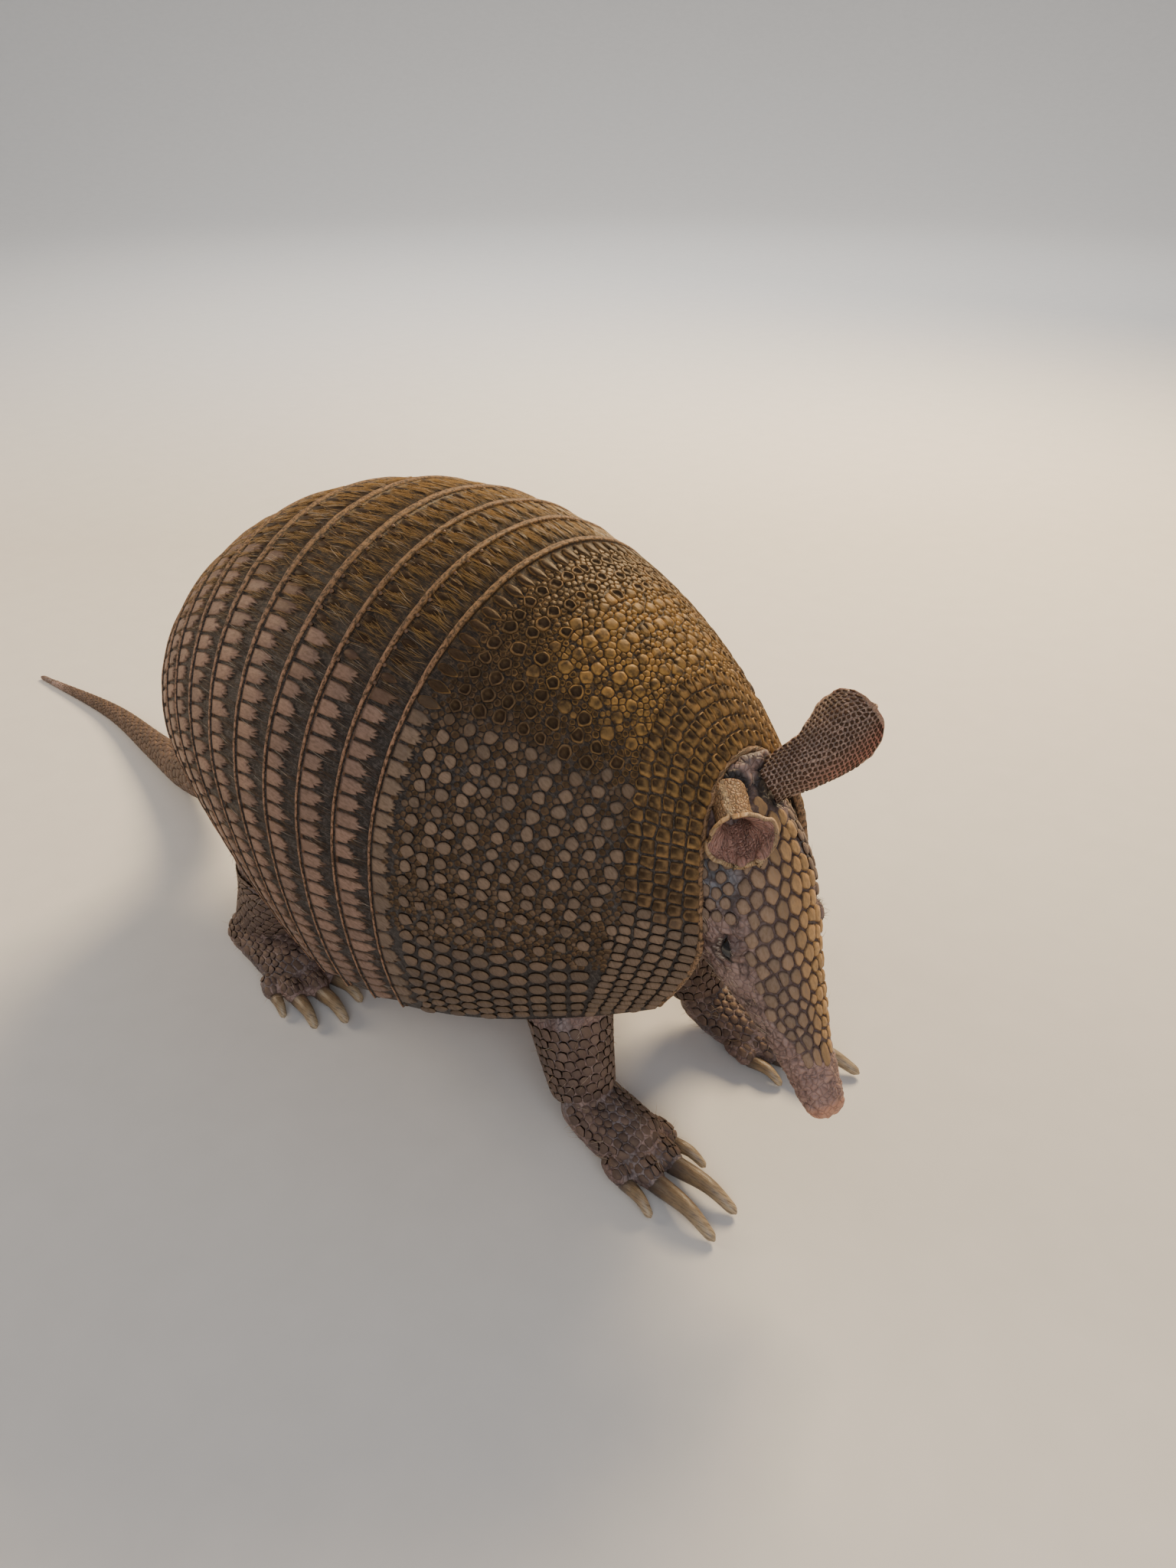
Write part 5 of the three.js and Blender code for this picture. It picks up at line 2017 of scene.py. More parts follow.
@dataclass(frozen=True)
class NeckSurface(Surface):
    """The neck, which flares towards the trunk."""

    inset: float
    span: tuple[float, float] = (-0.16, 0.067)
    radius: float = 23 * MM
    flare: float = 3 * MM
    taper: float = 2.4 * MM
    flatten: float = 0.96

    def at(self, u: Array, w: Array) -> Array:
        """The neck's places at u along the head's axis."""
        forward, left, up = HEAD.axes()
        share = (u / HEAD.length - self.span[0]) / (self.span[1] - self.span[0])
        radius = self.radius + self.flare * (1 - share) - self.taper * share - self.inset
        return (
            HEAD.on_axis(0)
            + np.outer(u, forward)
            + np.outer(radius * np.cos(w) * self.flatten, up)
            + np.outer(radius * np.sin(w), left)
        )


# The skin's marks: painted crease shade, pink, cool and painted shade in hollows.
CREASE_SHADE, PINK, COOL, HOLLOW_SHADE = range(4)


class Flesh:
    """Folds, lids and wrinkles, raised on the skin's vertices."""

    MOUTH = ((0.70, 66), (0.775, 71), (0.825, 80), (0.885, 72), (0.95, 60), (0.985, 57))
    PLATES = (
        (0.02, 12), (0.12, 27), (0.30, 33), (0.355, 39), (0.46, 43), (0.52, 51), (0.58, 57), (0.63, 62),
        (0.70, 62), (0.76, 50), (0.82, 34), (0.845, 0),
    )

    def __init__(self, places: Array, normals: Array) -> None:
        """Takes the vertices."""
        self.places = places
        self.normals = normals
        self.marks = np.zeros((len(places), 4))

    def lift(self, amount: Array) -> None:
        """Moves every vertex along its normal."""
        self.places = self.places + self.normals * amount[:, None]

    def mark(self, channel: int, value: Array) -> None:
        """Raises one of the marks to this value."""
        self.marks[:, channel] = np.maximum(self.marks[:, channel], value)

    @classmethod
    def plated(cls, along: float | Array, turn: float | Array) -> float | Array:
        """Above 0 where the head's plates lie."""
        rows = np.array(cls.PLATES)
        limit = np.interp(along, rows[:, 0], rows[:, 1], left=0, right=0) * DEG
        return limit - np.abs(turn)

    def shape_head(self) -> None:
        """Eyes, mouth, nostrils, cheeks and muzzle, with painted shade in their creases and hollows."""
        places = self.places
        along, turn, _ = HEAD.coordinates(places)
        on_head = smooth(-0.02, 0.06, along) * HEAD.holds(places)
        muzzle = on_head * smooth(0.72, 0.80, along)
        bare = on_head * swept(2, -4, self.plated(along, turn))
        cheek = bare * (1 - muzzle)
        # Long reticulated folds down the cheek, pebbles and cross wrinkles on the muzzle.
        forward, left, up = HEAD.axes()
        stretched = places - np.outer(places @ forward, forward) * 0.62
        net = ridges(stretched + 0.004 * grain(places, 9 * MM, 3)[:, None], 2.6 * MM, 4)
        fine = ridges(places, 1.3 * MM, 5)
        self.lift(cheek * ((net - 0.55) * 0.75 * MM + (fine - 0.5) * 0.22 * MM))
        # Painted shade in the creases between the folds.
        crease_shade = cheek * smooth(0.5, 0.15, net)
        wave = along * HEAD.length + 1.6 * MM * grain(places, 5 * MM, 6)
        rings = np.abs(np.sin(math.pi * wave / (2.7 * MM))) ** 0.6
        pebbles = ridges(places, 1.9 * MM, 7)
        tip = smooth(0.95, 1.0, along)
        rough = muzzle * (1 - tip)
        self.lift(rough * ((rings - 0.7) * 0.32 * MM + (pebbles - 0.5) * 0.62 * MM))
        # Painted shade in the muzzle's wrinkles.
        crease_shade = np.maximum(crease_shade, rough * smooth(0.4, 0.1, np.minimum(rings + 0.12, pebbles + 0.05)) * 0.7)
        cool = smooth(1.0, 0.35, np.hypot((along - 0.22) / 0.15, (np.abs(turn) - 47 * DEG) / (26 * DEG)))
        # The mouth: a groove that runs back and down from under the nose.
        share, turned = np.array(self.MOUTH).T
        for way in (1, -1):
            gap = self.distance(places, HEAD.at(share * HEAD.length, way * turned * DEG))
            self.lift(-on_head * bell(gap, 0, 0.55 * MM) * 1.1 * MM)
            self.lift(on_head * bell(gap, 1.5 * MM, 0.8 * MM) * 0.3 * MM)
            # Painted shade in the mouth's groove.
            crease_shade = np.maximum(crease_shade, on_head * bell(gap, 0, 0.8 * MM))
        # The nose pad and its nostrils.
        nose = HEAD.on_axis(1)
        for way in (-1, 1):
            hole = nose + left * 3.1 * MM * way + up * 0.9 * MM
            local = places - hole
            gap = np.linalg.norm(local - np.outer(local @ forward, forward) * 0.8, axis=1)
            rim = bell(gap, 1.9 * MM, 0.8 * MM) * (along > 0.9)
            deep = smooth(1.5 * MM, 0.7 * MM, gap) * (along > 0.9)
            self.places = self.places + np.outer(0.45 * MM * rim - 2.2 * MM * deep, forward)
            # Painted shade deep in the nostril.
            self.mark(HOLLOW_SHADE, deep)
        for leaf in (NEAR_EAR, FAR_EAR):
            near = np.linalg.norm(places - HEAD.point(*leaf.root)[0], axis=1)
            fold = smooth(15 * MM, 8 * MM, near)
            lump = ridges(places, 3.4 * MM, 8)
            self.lift(fold * (lump - 0.35) * 1.5 * MM)
            # Painted shade in the creases of the folds round the ear.
            crease_shade = np.maximum(crease_shade, fold * smooth(0.4, 0.1, lump))
            # Painted shade in the ear's opening.
            inside = leaf.root_radius + 0.3 * MM
            self.mark(HOLLOW_SHADE, smooth(inside + 2 * MM, inside, near))
        pink = 0.14 + 0.40 * smooth(0.66, 0.92, along) + 0.46 * smooth(0.94, 0.99, along)
        # Painted shade on the skin under and between the plates.
        crease_shade = np.maximum(crease_shade, on_head * swept(-1.5, 2, self.plated(along, turn)) * 0.85)
        self.mark(CREASE_SHADE, crease_shade)
        self.mark(PINK, on_head * pink * (1 - 0.6 * cool))
        self.mark(COOL, on_head * cool)
        for way in (-1, 1):
            self.shape_eye(way)

    @staticmethod
    def distance(places: Array, route: Array) -> Array:
        """How far each place is from a route of straight lengths."""
        best = np.full(len(places), np.inf)
        for start, end in zip(route[:-1], route[1:]):
            way = end - start
            share = np.clip(((places - start) @ way) / (way @ way), 0, 1)
            best = np.minimum(best, np.linalg.norm(places - start - share[:, None] * way, axis=1))
        return best

    def shape_eye(self, side: int) -> None:
        """Two lids over the eyeball, with a narrow opening between them.

        Args:
            side: -1 for the right eye, 1 for the left.
        """
        out, tilted, upright = HEAD.eye_axes(side)
        local = self.places - HEAD.eye_centre(side)
        x, y, z = local @ tilted, local @ upright, local @ out
        facing = z > 0
        flat = np.hypot(x, y)
        ball = HEAD.eye_radius
        opening = np.clip(1 - (x / (3.1 * MM)) ** 2, 0, 1) * 1.15 * MM
        beyond = np.abs(y) - opening
        lid = ball + mix(0.25 * MM, 0.42 * MM, smooth(0, 2.2 * MM, beyond))
        sunk = ball - 1.1 * MM
        target = np.where(beyond > 0, lid, sunk)
        reach = np.sqrt(np.maximum(target**2 - np.minimum(flat, target * 0.97) ** 2, 0))
        inside = facing * smooth(4.9 * MM, 3.7 * MM, flat)
        moved = mix(z, np.maximum(reach, np.where(beyond > 0, z - 1.2 * MM, reach)), inside)
        self.places = self.places + np.outer(moved - z, out)
        gap = flat + 0.9 * MM * grain(self.places, 3.5 * MM, 31)
        upward = smooth(0.2, 0.7, np.abs(y) / (flat + 1e-6))
        for ring, deep in ((3.9 * MM, 0.22 * MM), (5.4 * MM, 0.25 * MM)):
            groove = facing * bell(gap, ring, 0.4 * MM) * upward
            self.places = self.places - np.outer(groove * deep, out)
            # Painted shade in the grooves round the eye.
            self.mark(CREASE_SHADE, groove * 0.5)
        # Painted shade at the lids' edges, where they meet the eyeball, and crease shade round the sunk eye.
        rim = facing * (flat < 4.6 * MM) * bell(beyond, 0.1 * MM, 0.45 * MM)
        self.mark(HOLLOW_SHADE, rim)
        self.mark(CREASE_SHADE, facing * smooth(5.5 * MM, 2 * MM, flat) * 0.55)

    def shape_limbs(self) -> None:
        """Folds round the neck, legs and toes, and the belly's soft wrinkles, with painted shade in their
        creases.
        """
        places = self.places
        along, _, _ = HEAD.coordinates(places)
        limb = 1 - smooth(-0.02, 0.06, along) * HEAD.holds(places)
        x, y, z = places.T
        low = smooth(70 * MM, 45 * MM, z) * (np.abs(y) > 6 * MM) * (x > -40 * MM)
        soft = ridges(places, 4.2 * MM, 21)
        fine = ridges(places, 1.7 * MM, 22)
        bend = z + 0.35 * x + 1.5 * MM * grain(places, 8 * MM, 23)
        rings = np.abs(np.sin(math.pi * bend / (4.6 * MM))) ** 0.7
        off_floor = smooth(0.4 * MM, 3 * MM, z)
        folds = low * ((rings - 0.7) * 0.5 * MM) + (soft - 0.5) * 0.55 * MM + (fine - 0.5) * 0.2 * MM
        self.lift(limb * off_floor * folds)
        # Painted shade in the creases of the folds.
        crease_shade = limb * np.maximum(low * smooth(0.5, 0.1, rings) * 0.7, smooth(0.35, 0.08, soft))
        self.mark(CREASE_SHADE, crease_shade)
        self.mark(PINK, limb * mix(0.16, 0.08, smooth(60 * MM, 20 * MM, z)))
        self.mark(COOL, limb * 0.55 * smooth(0.0, 0.5, grain(places, 9 * MM, 24)))
        self.places[:, 2] = np.maximum(self.places[:, 2], 0)


@dataclass(frozen=True)
class SkinFinish:
    """Leathery skin. Marks: crease shade, pink, cool, dark; crease shade and dark are painted shade, in creases
    and in hollows.
    """

    name: str
    base: Colour = (0.150, 0.095, 0.080)
    pale: Colour = (0.290, 0.200, 0.170)
    pink: Colour = (0.335, 0.190, 0.150)
    nose: Colour = (0.46, 0.225, 0.145)
    cool: Colour = (0.085, 0.080, 0.085)
    # crease is painted shade for creases and the net's fine lines; dark is painted shade for hollows.
    crease_shade: Colour = (0.040, 0.022, 0.019)
    dark: Colour = (0.012, 0.008, 0.008)
    rough: float = 0.58

    def material(self) -> Material:
        """Mottled skin with painted shade in its creases, net lines and hollows, pale dots and a pink muzzle.
        """
        paint = Finish(self.name)
        crease_shade, pink, cool, dark = paint.marks()
        mottle = paint.noise(130, 4, 0.6)
        dots = paint.cells(620, "F1")
        net = paint.cells(480)
        colour = paint.blend(paint.band(mottle, 0.35, 0.68), self.base, self.pale)
        rosy = paint.blend(paint.band(mottle, 0.3, 0.7), self.pink, tint(self.pink, 1.25))
        colour = paint.blend(pink, colour, rosy)
        colour = paint.blend(paint.band(pink, 0.6, 0.95), colour, self.nose)
        grey = paint.blend(paint.band(mottle, 0.4, 0.7), self.cool, tint(self.cool, 2.2))
        colour = paint.blend(cool, colour, grey)
        colour = paint.blend(paint.scaled(paint.band(dots, 0.32, 0.12), 0.35), colour, self.pale)
        # Painted shade in the net's fine lines and in the creases, and near black in the hollows.
        colour = paint.blend(paint.scaled(paint.band(net, 0.10, 0.0), 0.45), colour, self.crease_shade)
        colour = paint.blend(paint.scaled(crease_shade, 0.85), colour, self.crease_shade)
        colour = paint.blend(dark, colour, self.dark)
        normal = paint.bumps((paint.band(net, 0.0, 0.22), 0.22), (paint.noise(1400), 0.1))
        rough = paint.scaled(mottle, 0.25, self.rough - 0.12)
        return paint.dress(colour, rough, normal, Subsurface_Weight=0.06, Subsurface_Scale=0.002)


@dataclass
class Body:
    """The skin, what stands for its nodes, and the hairs on it."""

    hair_count: int = 3400
    hair_length: tuple[float, float] = (2.5, 7.5)
    hair_width: tuple[float, float] = (0.09, 0.16)
    cheek_density: float = 2.2
    clear_of_eyes: float = 7 * MM

    def build(self) -> None:
        """Builds and dresses the skin."""
        piece = Skin().build()
        nodes = ["trunk", "neck", "head", *(f"tail_{k + 1}" for k in range(5))]
        nodes += [f"{part}_{leg.name}_{name}" for part in ("leg", "foot") for leg, name, _ in LIMBS]
        finish_piece(piece, SkinFinish("skin").material(), nodes)
        self.hairs(piece)

    def hairs(self, skin: Piece) -> None:
        """Adds sparse hairs over the cheeks, the neck, the belly and the legs, lying back and down."""
        rng = np.random.default_rng(51)
        faces = skin.data.polygons
        root, normal = read(faces, "center", 3), read(faces, "normal", 3)
        along, turn, _ = HEAD.coordinates(root)
        on_head = (along > 0) & HEAD.holds(root)
        cheek = on_head & (along < 0.72) & (Flesh.plated(along, turn) < -6 * DEG)
        body = ~on_head & ~under_shell(root, 40 * MM) & (root[:, 0] > -60 * MM) & (root[:, 2] > 6 * MM)
        dense = np.where(cheek & (HEAD.from_eyes(root) > self.clear_of_eyes), self.cheek_density, body)
        weight = read(faces, "area") * dense
        picked = rng.choice(len(root), self.hair_count, p=weight / weight.sum())
        root, normal = root[picked], normal[picked]
        lie = np.where(cheek[picked][:, None], -HEAD.axes()[0], [-0.75, 0.0, -0.65])
        lie = lie + rng.normal(0, 0.25, lie.shape)
        lie = unit(lie - normal * np.sum(lie * normal, axis=1, keepdims=True))
        length = rng.uniform(
            *self.hair_length, len(root)
        )[:, None] * np.where(cheek[picked], 0.7, 1.0)[:, None] * MM
        strands = Strands()
        sunk = root - normal * 0.2 * MM
        lines = columns(
            *(sunk + (lie * t + normal * (0.55 * t - 0.3 * t * t)) * length for t in strands.steps())
        )
        lines = np.maximum(lines, [-np.inf, -np.inf, 0.3 * MM])
        count = len(root)
        marks = columns(rng.uniform(0.2, 0.9, count), rng.random(count), rng.uniform(0.2, 0.8, count))
        turned = np.arctan2(root[:, 1], root[:, 2] - ORIGIN[2] + 20 * MM) / (2 * math.pi)
        patch = columns(0.02 + 0.96 * (root[:, 0] + 60 * MM) / (330 * MM), 0.5 + 0.97 * turned)
        strands.add(lines, normal, rng.uniform(*self.hair_width, len(root)) * MM, marks, patch)
        finish_piece(strands.build("skin_hairs"), HAIR.material())


# ---------------------------------------------------------------- head


@dataclass
class HeadPlates:
    """The plates of the brow and snout, and the small faded bumps under the ears."""

    rows: float = 4.9 * MM
    apart: float = 4.5 * MM
    start: float = 0.03
    end: float = 0.84
    height: float = 0.95 * MM
    gap: float = 0.34 * MM
    farthest: float = 75 * DEG
    bump: float = 1.35 * MM
    bump_height: float = 0.75 * MM
    bumps_apart: float = 3.3 * MM

    def build(self) -> None:
        """Builds the plates."""
        rng = np.random.default_rng(71)
        sites: list[Site] = []
        along = self.start
        row = 0
        while along < self.end:
            u = along * HEAD.length
            reach = HEAD.reach_at(u, 0.3)
            size = mix(1.0, 0.72, smooth(0.35, 0.8, along))
            for side in (-1, 1):
                w = (0.5 if row % 2 else 0.0) * self.apart * size / reach
                if side == 1 and w == 0:
                    w += self.apart * size / reach
                while w < self.farthest:
                    at_u = u + rng.normal() * 0.45 * MM
                    at_w = side * (w + rng.normal() * 0.3 * MM / reach)
                    inside = Flesh.plated(at_u / HEAD.length, at_w)
                    long = mix(1.5, 1.12, swept(8, 30, w)) * mix(1.0, 1.1, smooth(0.5, 0.75, along))
                    # Colour by side: the far (+Y) side is painted golden, as warm light falling on it, and the
                    # near side pale.
                    gold = 1 - swept(-30, 25, -at_w)
                    radius = self.apart * size * 0.66 * rng.uniform(0.86, 1.14)
                    pale = mix(0.92, 0.25, gold)
                    height = self.height * mix(1.0, 0.5, smooth(0.66, 0.84, along))
                    site = Site(at_u, at_w, radius, height, PLATE, (pale, rng.random(), gold), long)
                    site.gap = self.gap
                    ear = math.hypot(at_u / MM - 3, (abs(at_w) - 28 * DEG) * 20)
                    site.shown = inside > -1.5 * DEG and ear > 7.5
                    sites.append(site)
                    w += self.apart * size / reach
            along += self.rows * size * 1.0 / HEAD.length
            row += 1
        scales = Scales(HEAD, 0.82 * MM, 0.9 * MM)
        scales.fill(sites, False)
        for side in (-1, 1):
            self.bumps(scales, side, rng)
        piece = scales.build("head_plates", (0, HEAD.length), (-2.0, 2.0))
        finish_piece(piece, HEAD_HORN.material())

    def bumps(self, scales: Scales, side: int, rng: np.random.Generator) -> None:
        """Adds the sparse bumps behind and under the eye on one side."""

        def keep(u: float, w: float) -> bool:
            """Whether a bump may sit here."""
            at = u / HEAD.length
            outside = Flesh.plated(at, w) < -5 * DEG
            eye = math.hypot((at - HEAD.eye_along) * 98, (abs(w) - HEAD.eye_turn) * 19)
            ear = math.hypot((at - 0.03) * 98, (abs(w) - 28 * DEG) * 20)
            return outside and 0.10 < at < 0.42 and abs(w) < 78 * DEG and eye > 8 and ear > 10.5

        span = (0.1 * HEAD.length, 0.42 * HEAD.length)
        found = scattered(
            HEAD, span, tuple(sorted((side * 0.4, side * 1.4))), self.bumps_apart, 400, 72 + side, keep
        )
        sites = [
            Site(
                u, w, self.bump, self.bump_height, BOSS, (0.95, 0.6 * rng.random(), 0.0), 1.15
            ) for u, w in found
        ]
        scales.fill(sites, False)


@dataclass(frozen=True)
class LeatherFinish:
    """The ears' skin. Marks: rim, inner face, how far along, red."""

    name: str
    outer: Colour
    inner: Colour
    rim: Colour
    speck: Colour = (0.10, 0.055, 0.045)
    blood: Colour = (0.42, 0.11, 0.06)
    rough: float = 0.5

    def material(self) -> Material:
        """Crinkled outside, streaked inside, with a pale rim."""
        paint = Finish(self.name)
        rim, inner, _, red = paint.marks()
        crinkle = paint.cells(1, lay=(75, 110))
        streak = paint.noise(1, 4, lay=(9, 170))
        mottle = paint.noise(260)
        outer = paint.blend(paint.band(mottle, 0.3, 0.7), self.outer, tint(self.outer, 1.5))
        outer = paint.blend(paint.band(crinkle, 0.12, 0.0), outer, tint(self.outer, 0.4))
        inside = paint.blend(paint.band(streak, 0.38, 0.66), self.inner, tint(self.inner, 0.5))
        colour = paint.blend(inner, outer, inside)
        colour = paint.blend(paint.scaled(red, 0.55), colour, self.blood)
        edge = paint.blend(mottle, self.rim, tint(self.rim, 0.6))
        colour = paint.blend(paint.band(rim, 0.35, 0.9), colour, edge)
        colour = paint.blend(paint.band(paint.noise(1100, 2), 0.62, 0.72), colour, self.speck)
        normal = paint.bumps(
            (paint.band(crinkle, 0.0, 0.3), 0.3), (paint.scaled(streak, inner), 0.25), (mottle, 0.2)
        )
        rough = paint.scaled(mottle, 0.25, self.rough)
        return paint.dress(colour, rough, normal, Subsurface_Weight=0.10, Subsurface_Scale=0.003)


@dataclass
class Ear:
    """One ear: a rolled leaf with pebbles on its back."""

    side: str
    leaf: EarLeaf
    finish: LeatherFinish
    pebble: float = 1.42 * MM
    pebble_height: float = 0.28 * MM
    pebbles_from: float = 0.0
    thick: float = 1.25 * MM

    def build(self) -> None:
        """Builds the leaf and its pebbles."""
        piece = sheet_primitive(f"ear_leaf_{self.side}", 60, 60)
        flat = places_of(piece)
        u = (1 - (0.5 - flat[:, 0]) ** 1.35) * self.leaf.length
        w = np.sin(flat[:, 1] * math.pi)
        place, normal, _, reach = self.leaf.around(u, w)
        share = u / self.leaf.length
        bead = grain(place, 1.5 * MM, 81) * np.maximum(smooth(0.86, 1, share), smooth(0.84, 1, np.abs(w)))
        folds = grain(place, 4.5 * MM, 82) * smooth(0.1, 0.35, share) * (0.9 if self.leaf.hood else 0.25)
        creased = grain(place, 1.5 * MM, 83) * (0.6 if self.leaf.hood else 0.0)
        move_to(piece, place + normal * (bead * 0.38 * MM + folds * 0.35 * MM + creased * 0.3 * MM)[:, None])
        add_lay(piece, u, w * reach)
        rim = np.maximum(smooth(0.93, 0.99, share), smooth(0.9, 0.98, np.abs(w)))
        apply_modifier(piece, "SOLIDIFY", thickness=self.thick, offset=-1)
        inner = np.arange(len(piece.data.vertices)) >= len(u)
        red = np.tile(smooth(0.1, 0.8, -w) * smooth(0.1, 0.5, share), 2)
        marks = columns(np.tile(rim, 2), inner.astype(float), np.tile(share, 2), red * (self.side == "left"))
        add_marks(piece, marks)
        finish_piece(piece, self.finish.material(), [f"ear_{self.side}"])
        rng = np.random.default_rng(84)
        sites = []
        for row in range(int(self.leaf.length / self.pebble)):
            along = (row + 0.6) * self.pebble
            reach_w = self.leaf.reach_at(along, 0.0)
            across = int(reach_w / self.pebble) + 1
            if along < self.pebbles_from * self.leaf.length:
                continue
            for k in range(-2 * across - 2, across + 1):
                stray = rng.normal(0, 0.13 * MM, 2)
                turn = ((k + 0.5 * (row % 2)) * self.pebble + 0.25 * along + stray[0]) / reach_w
                if abs(turn) < (0.5 if self.leaf.hood else 0.95) and along < 0.965 * self.leaf.length:
                    size = rng.uniform(0.42, 0.6) * MM
                    marks = 0.0, rng.random(), 0.0
                    sites.append(Site(along + stray[1], turn, size, self.pebble_height, PEBBLE, marks, 1.35))
        scales = Scales(self.leaf, 0.06 * MM, 0.34 * MM)
        scales.fill(sites, False)
        beads = scales.build(f"ear_pebbles_{self.side}", (0, self.leaf.length), (-1, 1))
        finish_piece(beads, EAR_HORN.material())


@dataclass(frozen=True)
class EyeFinish:
    """A dark, wet eye."""

    name: str
    pupil: Colour = (0.004, 0.003, 0.003)
    iris: Colour = (0.030, 0.014, 0.008)
    rough: float = 0.05

    def material(self) -> Material:
        """Nearly black, with a faint brown ring and a clear coat."""
        paint = Finish(self.name)
        grit = paint.noise(900)
        iris = paint.blend(grit, self.iris, tint(self.iris, 2))
        colour = paint.blend(paint.band(paint.marks()[0], 0.25, 0.6), self.pupil, iris)
        rough = paint.scaled(grit, 0.06, self.rough)
        return paint.dress(colour, rough, Coat_Weight=1.0, Coat_Roughness=0.03)


@dataclass
class Eyes:
    """The eyeballs with their corneas, and the lashes."""

    lashes: int = 34
    lash_length: tuple[float, float] = (1.0, 2.2)
    lash_width: tuple[float, float] = (0.1, 0.16)
    bulge: float = 0.28 * MM

    def build(self) -> None:
        """Builds both eyes."""
        finish = EyeFinish("eye").material()
        lashes = Strands()
        for name, side in SIDES.items():
            centre = HEAD.eye_centre(side)
            out, tilted, upright = HEAD.eye_axes(side)
            deselect_all()
            bpy.ops.mesh.primitive_uv_sphere_add(segments=40, ring_count=28, radius=HEAD.eye_radius)
            piece = bpy.context.object
            piece.name = f"eyeball_{name}"
            turn = Vector((0, 0, 1)).rotation_difference(Vector(out)).to_matrix()
            places = places_of(piece) @ np.array(turn).T
            forth = places @ out / HEAD.eye_radius
            move_to(piece, places + np.outer(smooth(0.80, 0.97, forth) * self.bulge, out) + centre)
            add_marks(piece, columns(*[1 - smooth(0.55, 0.9, forth)] * 4))
            finish_piece(piece, finish, [f"eye_{name}"])
            rng = np.random.default_rng(91 + side)
            x = rng.uniform(-3.0, 3.0, self.lashes) * MM
            upper = np.where(rng.random(self.lashes) < 0.6, 1.0, -1.0)
            y = upper * ((1 - (x / (3.3 * MM)) ** 2) * 1.15 * MM + rng.uniform(0.1, 0.7, self.lashes) * MM)
            flat = np.hypot(x, y)
            z = np.sqrt((HEAD.eye_radius + 0.35 * MM) ** 2 - flat**2)
            root = centre + np.outer(x, tilted) + np.outer(y, upright) + np.outer(z, out)
            stray = np.outer(rng.normal(0, 0.5, self.lashes), tilted)
            away = unit(np.outer(upper * 0.5, upright) + out * 0.75 + stray)
            length = rng.uniform(*self.lash_length, self.lashes)[:, None] * MM
            rise = np.outer(upper * 0.35, upright)
            curve = columns(*(root + (away * t + rise * t * t) * length for t in lashes.steps()))
            marks = columns(0.75, rng.random(self.lashes), 0.0)
            patch = columns(0.5 + 0.4 * side, 0.5 + x / (8 * MM))
            normals = np.tile(upright, (self.lashes, 1))
            lashes.add(curve, normals, rng.uniform(*self.lash_width, self.lashes) * MM, marks, patch)
        finish_piece(lashes.build("lashes"), HAIR.material())


# ---------------------------------------------------------------- claws and limbs


@dataclass(frozen=True)
class ClawFinish:
    """Claws. Marks: how far along, under side, chance, unused."""

    name: str
    root: Colour = (0.085, 0.060, 0.045)
    horn: Colour = (0.23, 0.160, 0.090)
    tip: Colour = (0.42, 0.32, 0.20)
    rough: float = 0.25

    def material(self) -> Material:
        """Lengthwise streaks, a dark root and a paler worn tip."""
        paint = Finish(self.name)
        along, _, _, _ = paint.marks()
        streak = paint.noise(1, 4, lay=(30, 190))
        grit = paint.noise(700)
        colour = paint.blend(paint.band(along, 0.05, 0.45), self.root, self.horn)
        colour = paint.blend(paint.band(along, 0.5, 0.98), colour, self.tip)
        colour = paint.blend(paint.scaled(paint.band(streak, 0.42, 0.7), 0.75), colour, self.root)
        colour = paint.blend(paint.scaled(paint.band(grit, 0.6, 0.8), 0.5), colour, self.root)
        normal = paint.bumps((streak, 0.18), (grit, 0.06))
        rough = paint.scaled(grit, 0.25, self.rough)
        return paint.dress(colour, rough, normal, Subsurface_Weight=0.08, Subsurface_Scale=0.002)


@dataclass
class Claws:
    """Every claw, curved from its toe down to the floor."""

    root: float = 0.16
    crest: float = 0.5
    arch: float = 0.4
    sides: int = 18
    rings: int = 22

    def surface(self, leg: Leg, toe: Toe, side: int) -> Tube:
        """A claw's surface."""
        root, tip, point = leg.toe_line(toe)
        start = mix(tip, root, self.root)
        crest = mix(tip, point, self.crest)
        crest[2] = tip[2] + toe.claw_radius * self.arch

        def radius_at(share: Array) -> Array:
            """The claw's radius, drawn in at its blunt point."""
            radius = toe.claw_radius * (1 - CLAW_TAPER * share**1.4)
            blunt = np.sqrt(np.clip(1 - ((share - 0.90) / 0.102) ** 2, 0.03, 1))
            return radius * np.where(share > 0.90, blunt, 1) * MM

        return Tube((start, crest, point), radius_at, 1.0, side)

    def build(self) -> None:
        """Builds and dresses each claw."""
        finish = ClawFinish("claw_horn").material()
        for leg, name, side in LIMBS:
            for k, toe in enumerate(leg.toes):
                surface = self.surface(leg, toe, side)
                piece = wrap_tube(
                    f"horn_{leg.name}_{name}_{k + 1}", surface, (0, surface.length), self.sides, self.rings
                )
                keep_off_floor(piece)
                x, y, z = (places_of(piece) - places_of(piece).mean(axis=0)).T
                share = (x - x.min()) / np.ptp(x)
                add_marks(piece, columns(share, z < 0, k / 5, share))
                add_lay(piece, x, y + 0.7 * z)
                finish_piece(piece, finish, [f"claw_{leg.name}_{name}_{k + 1}"])


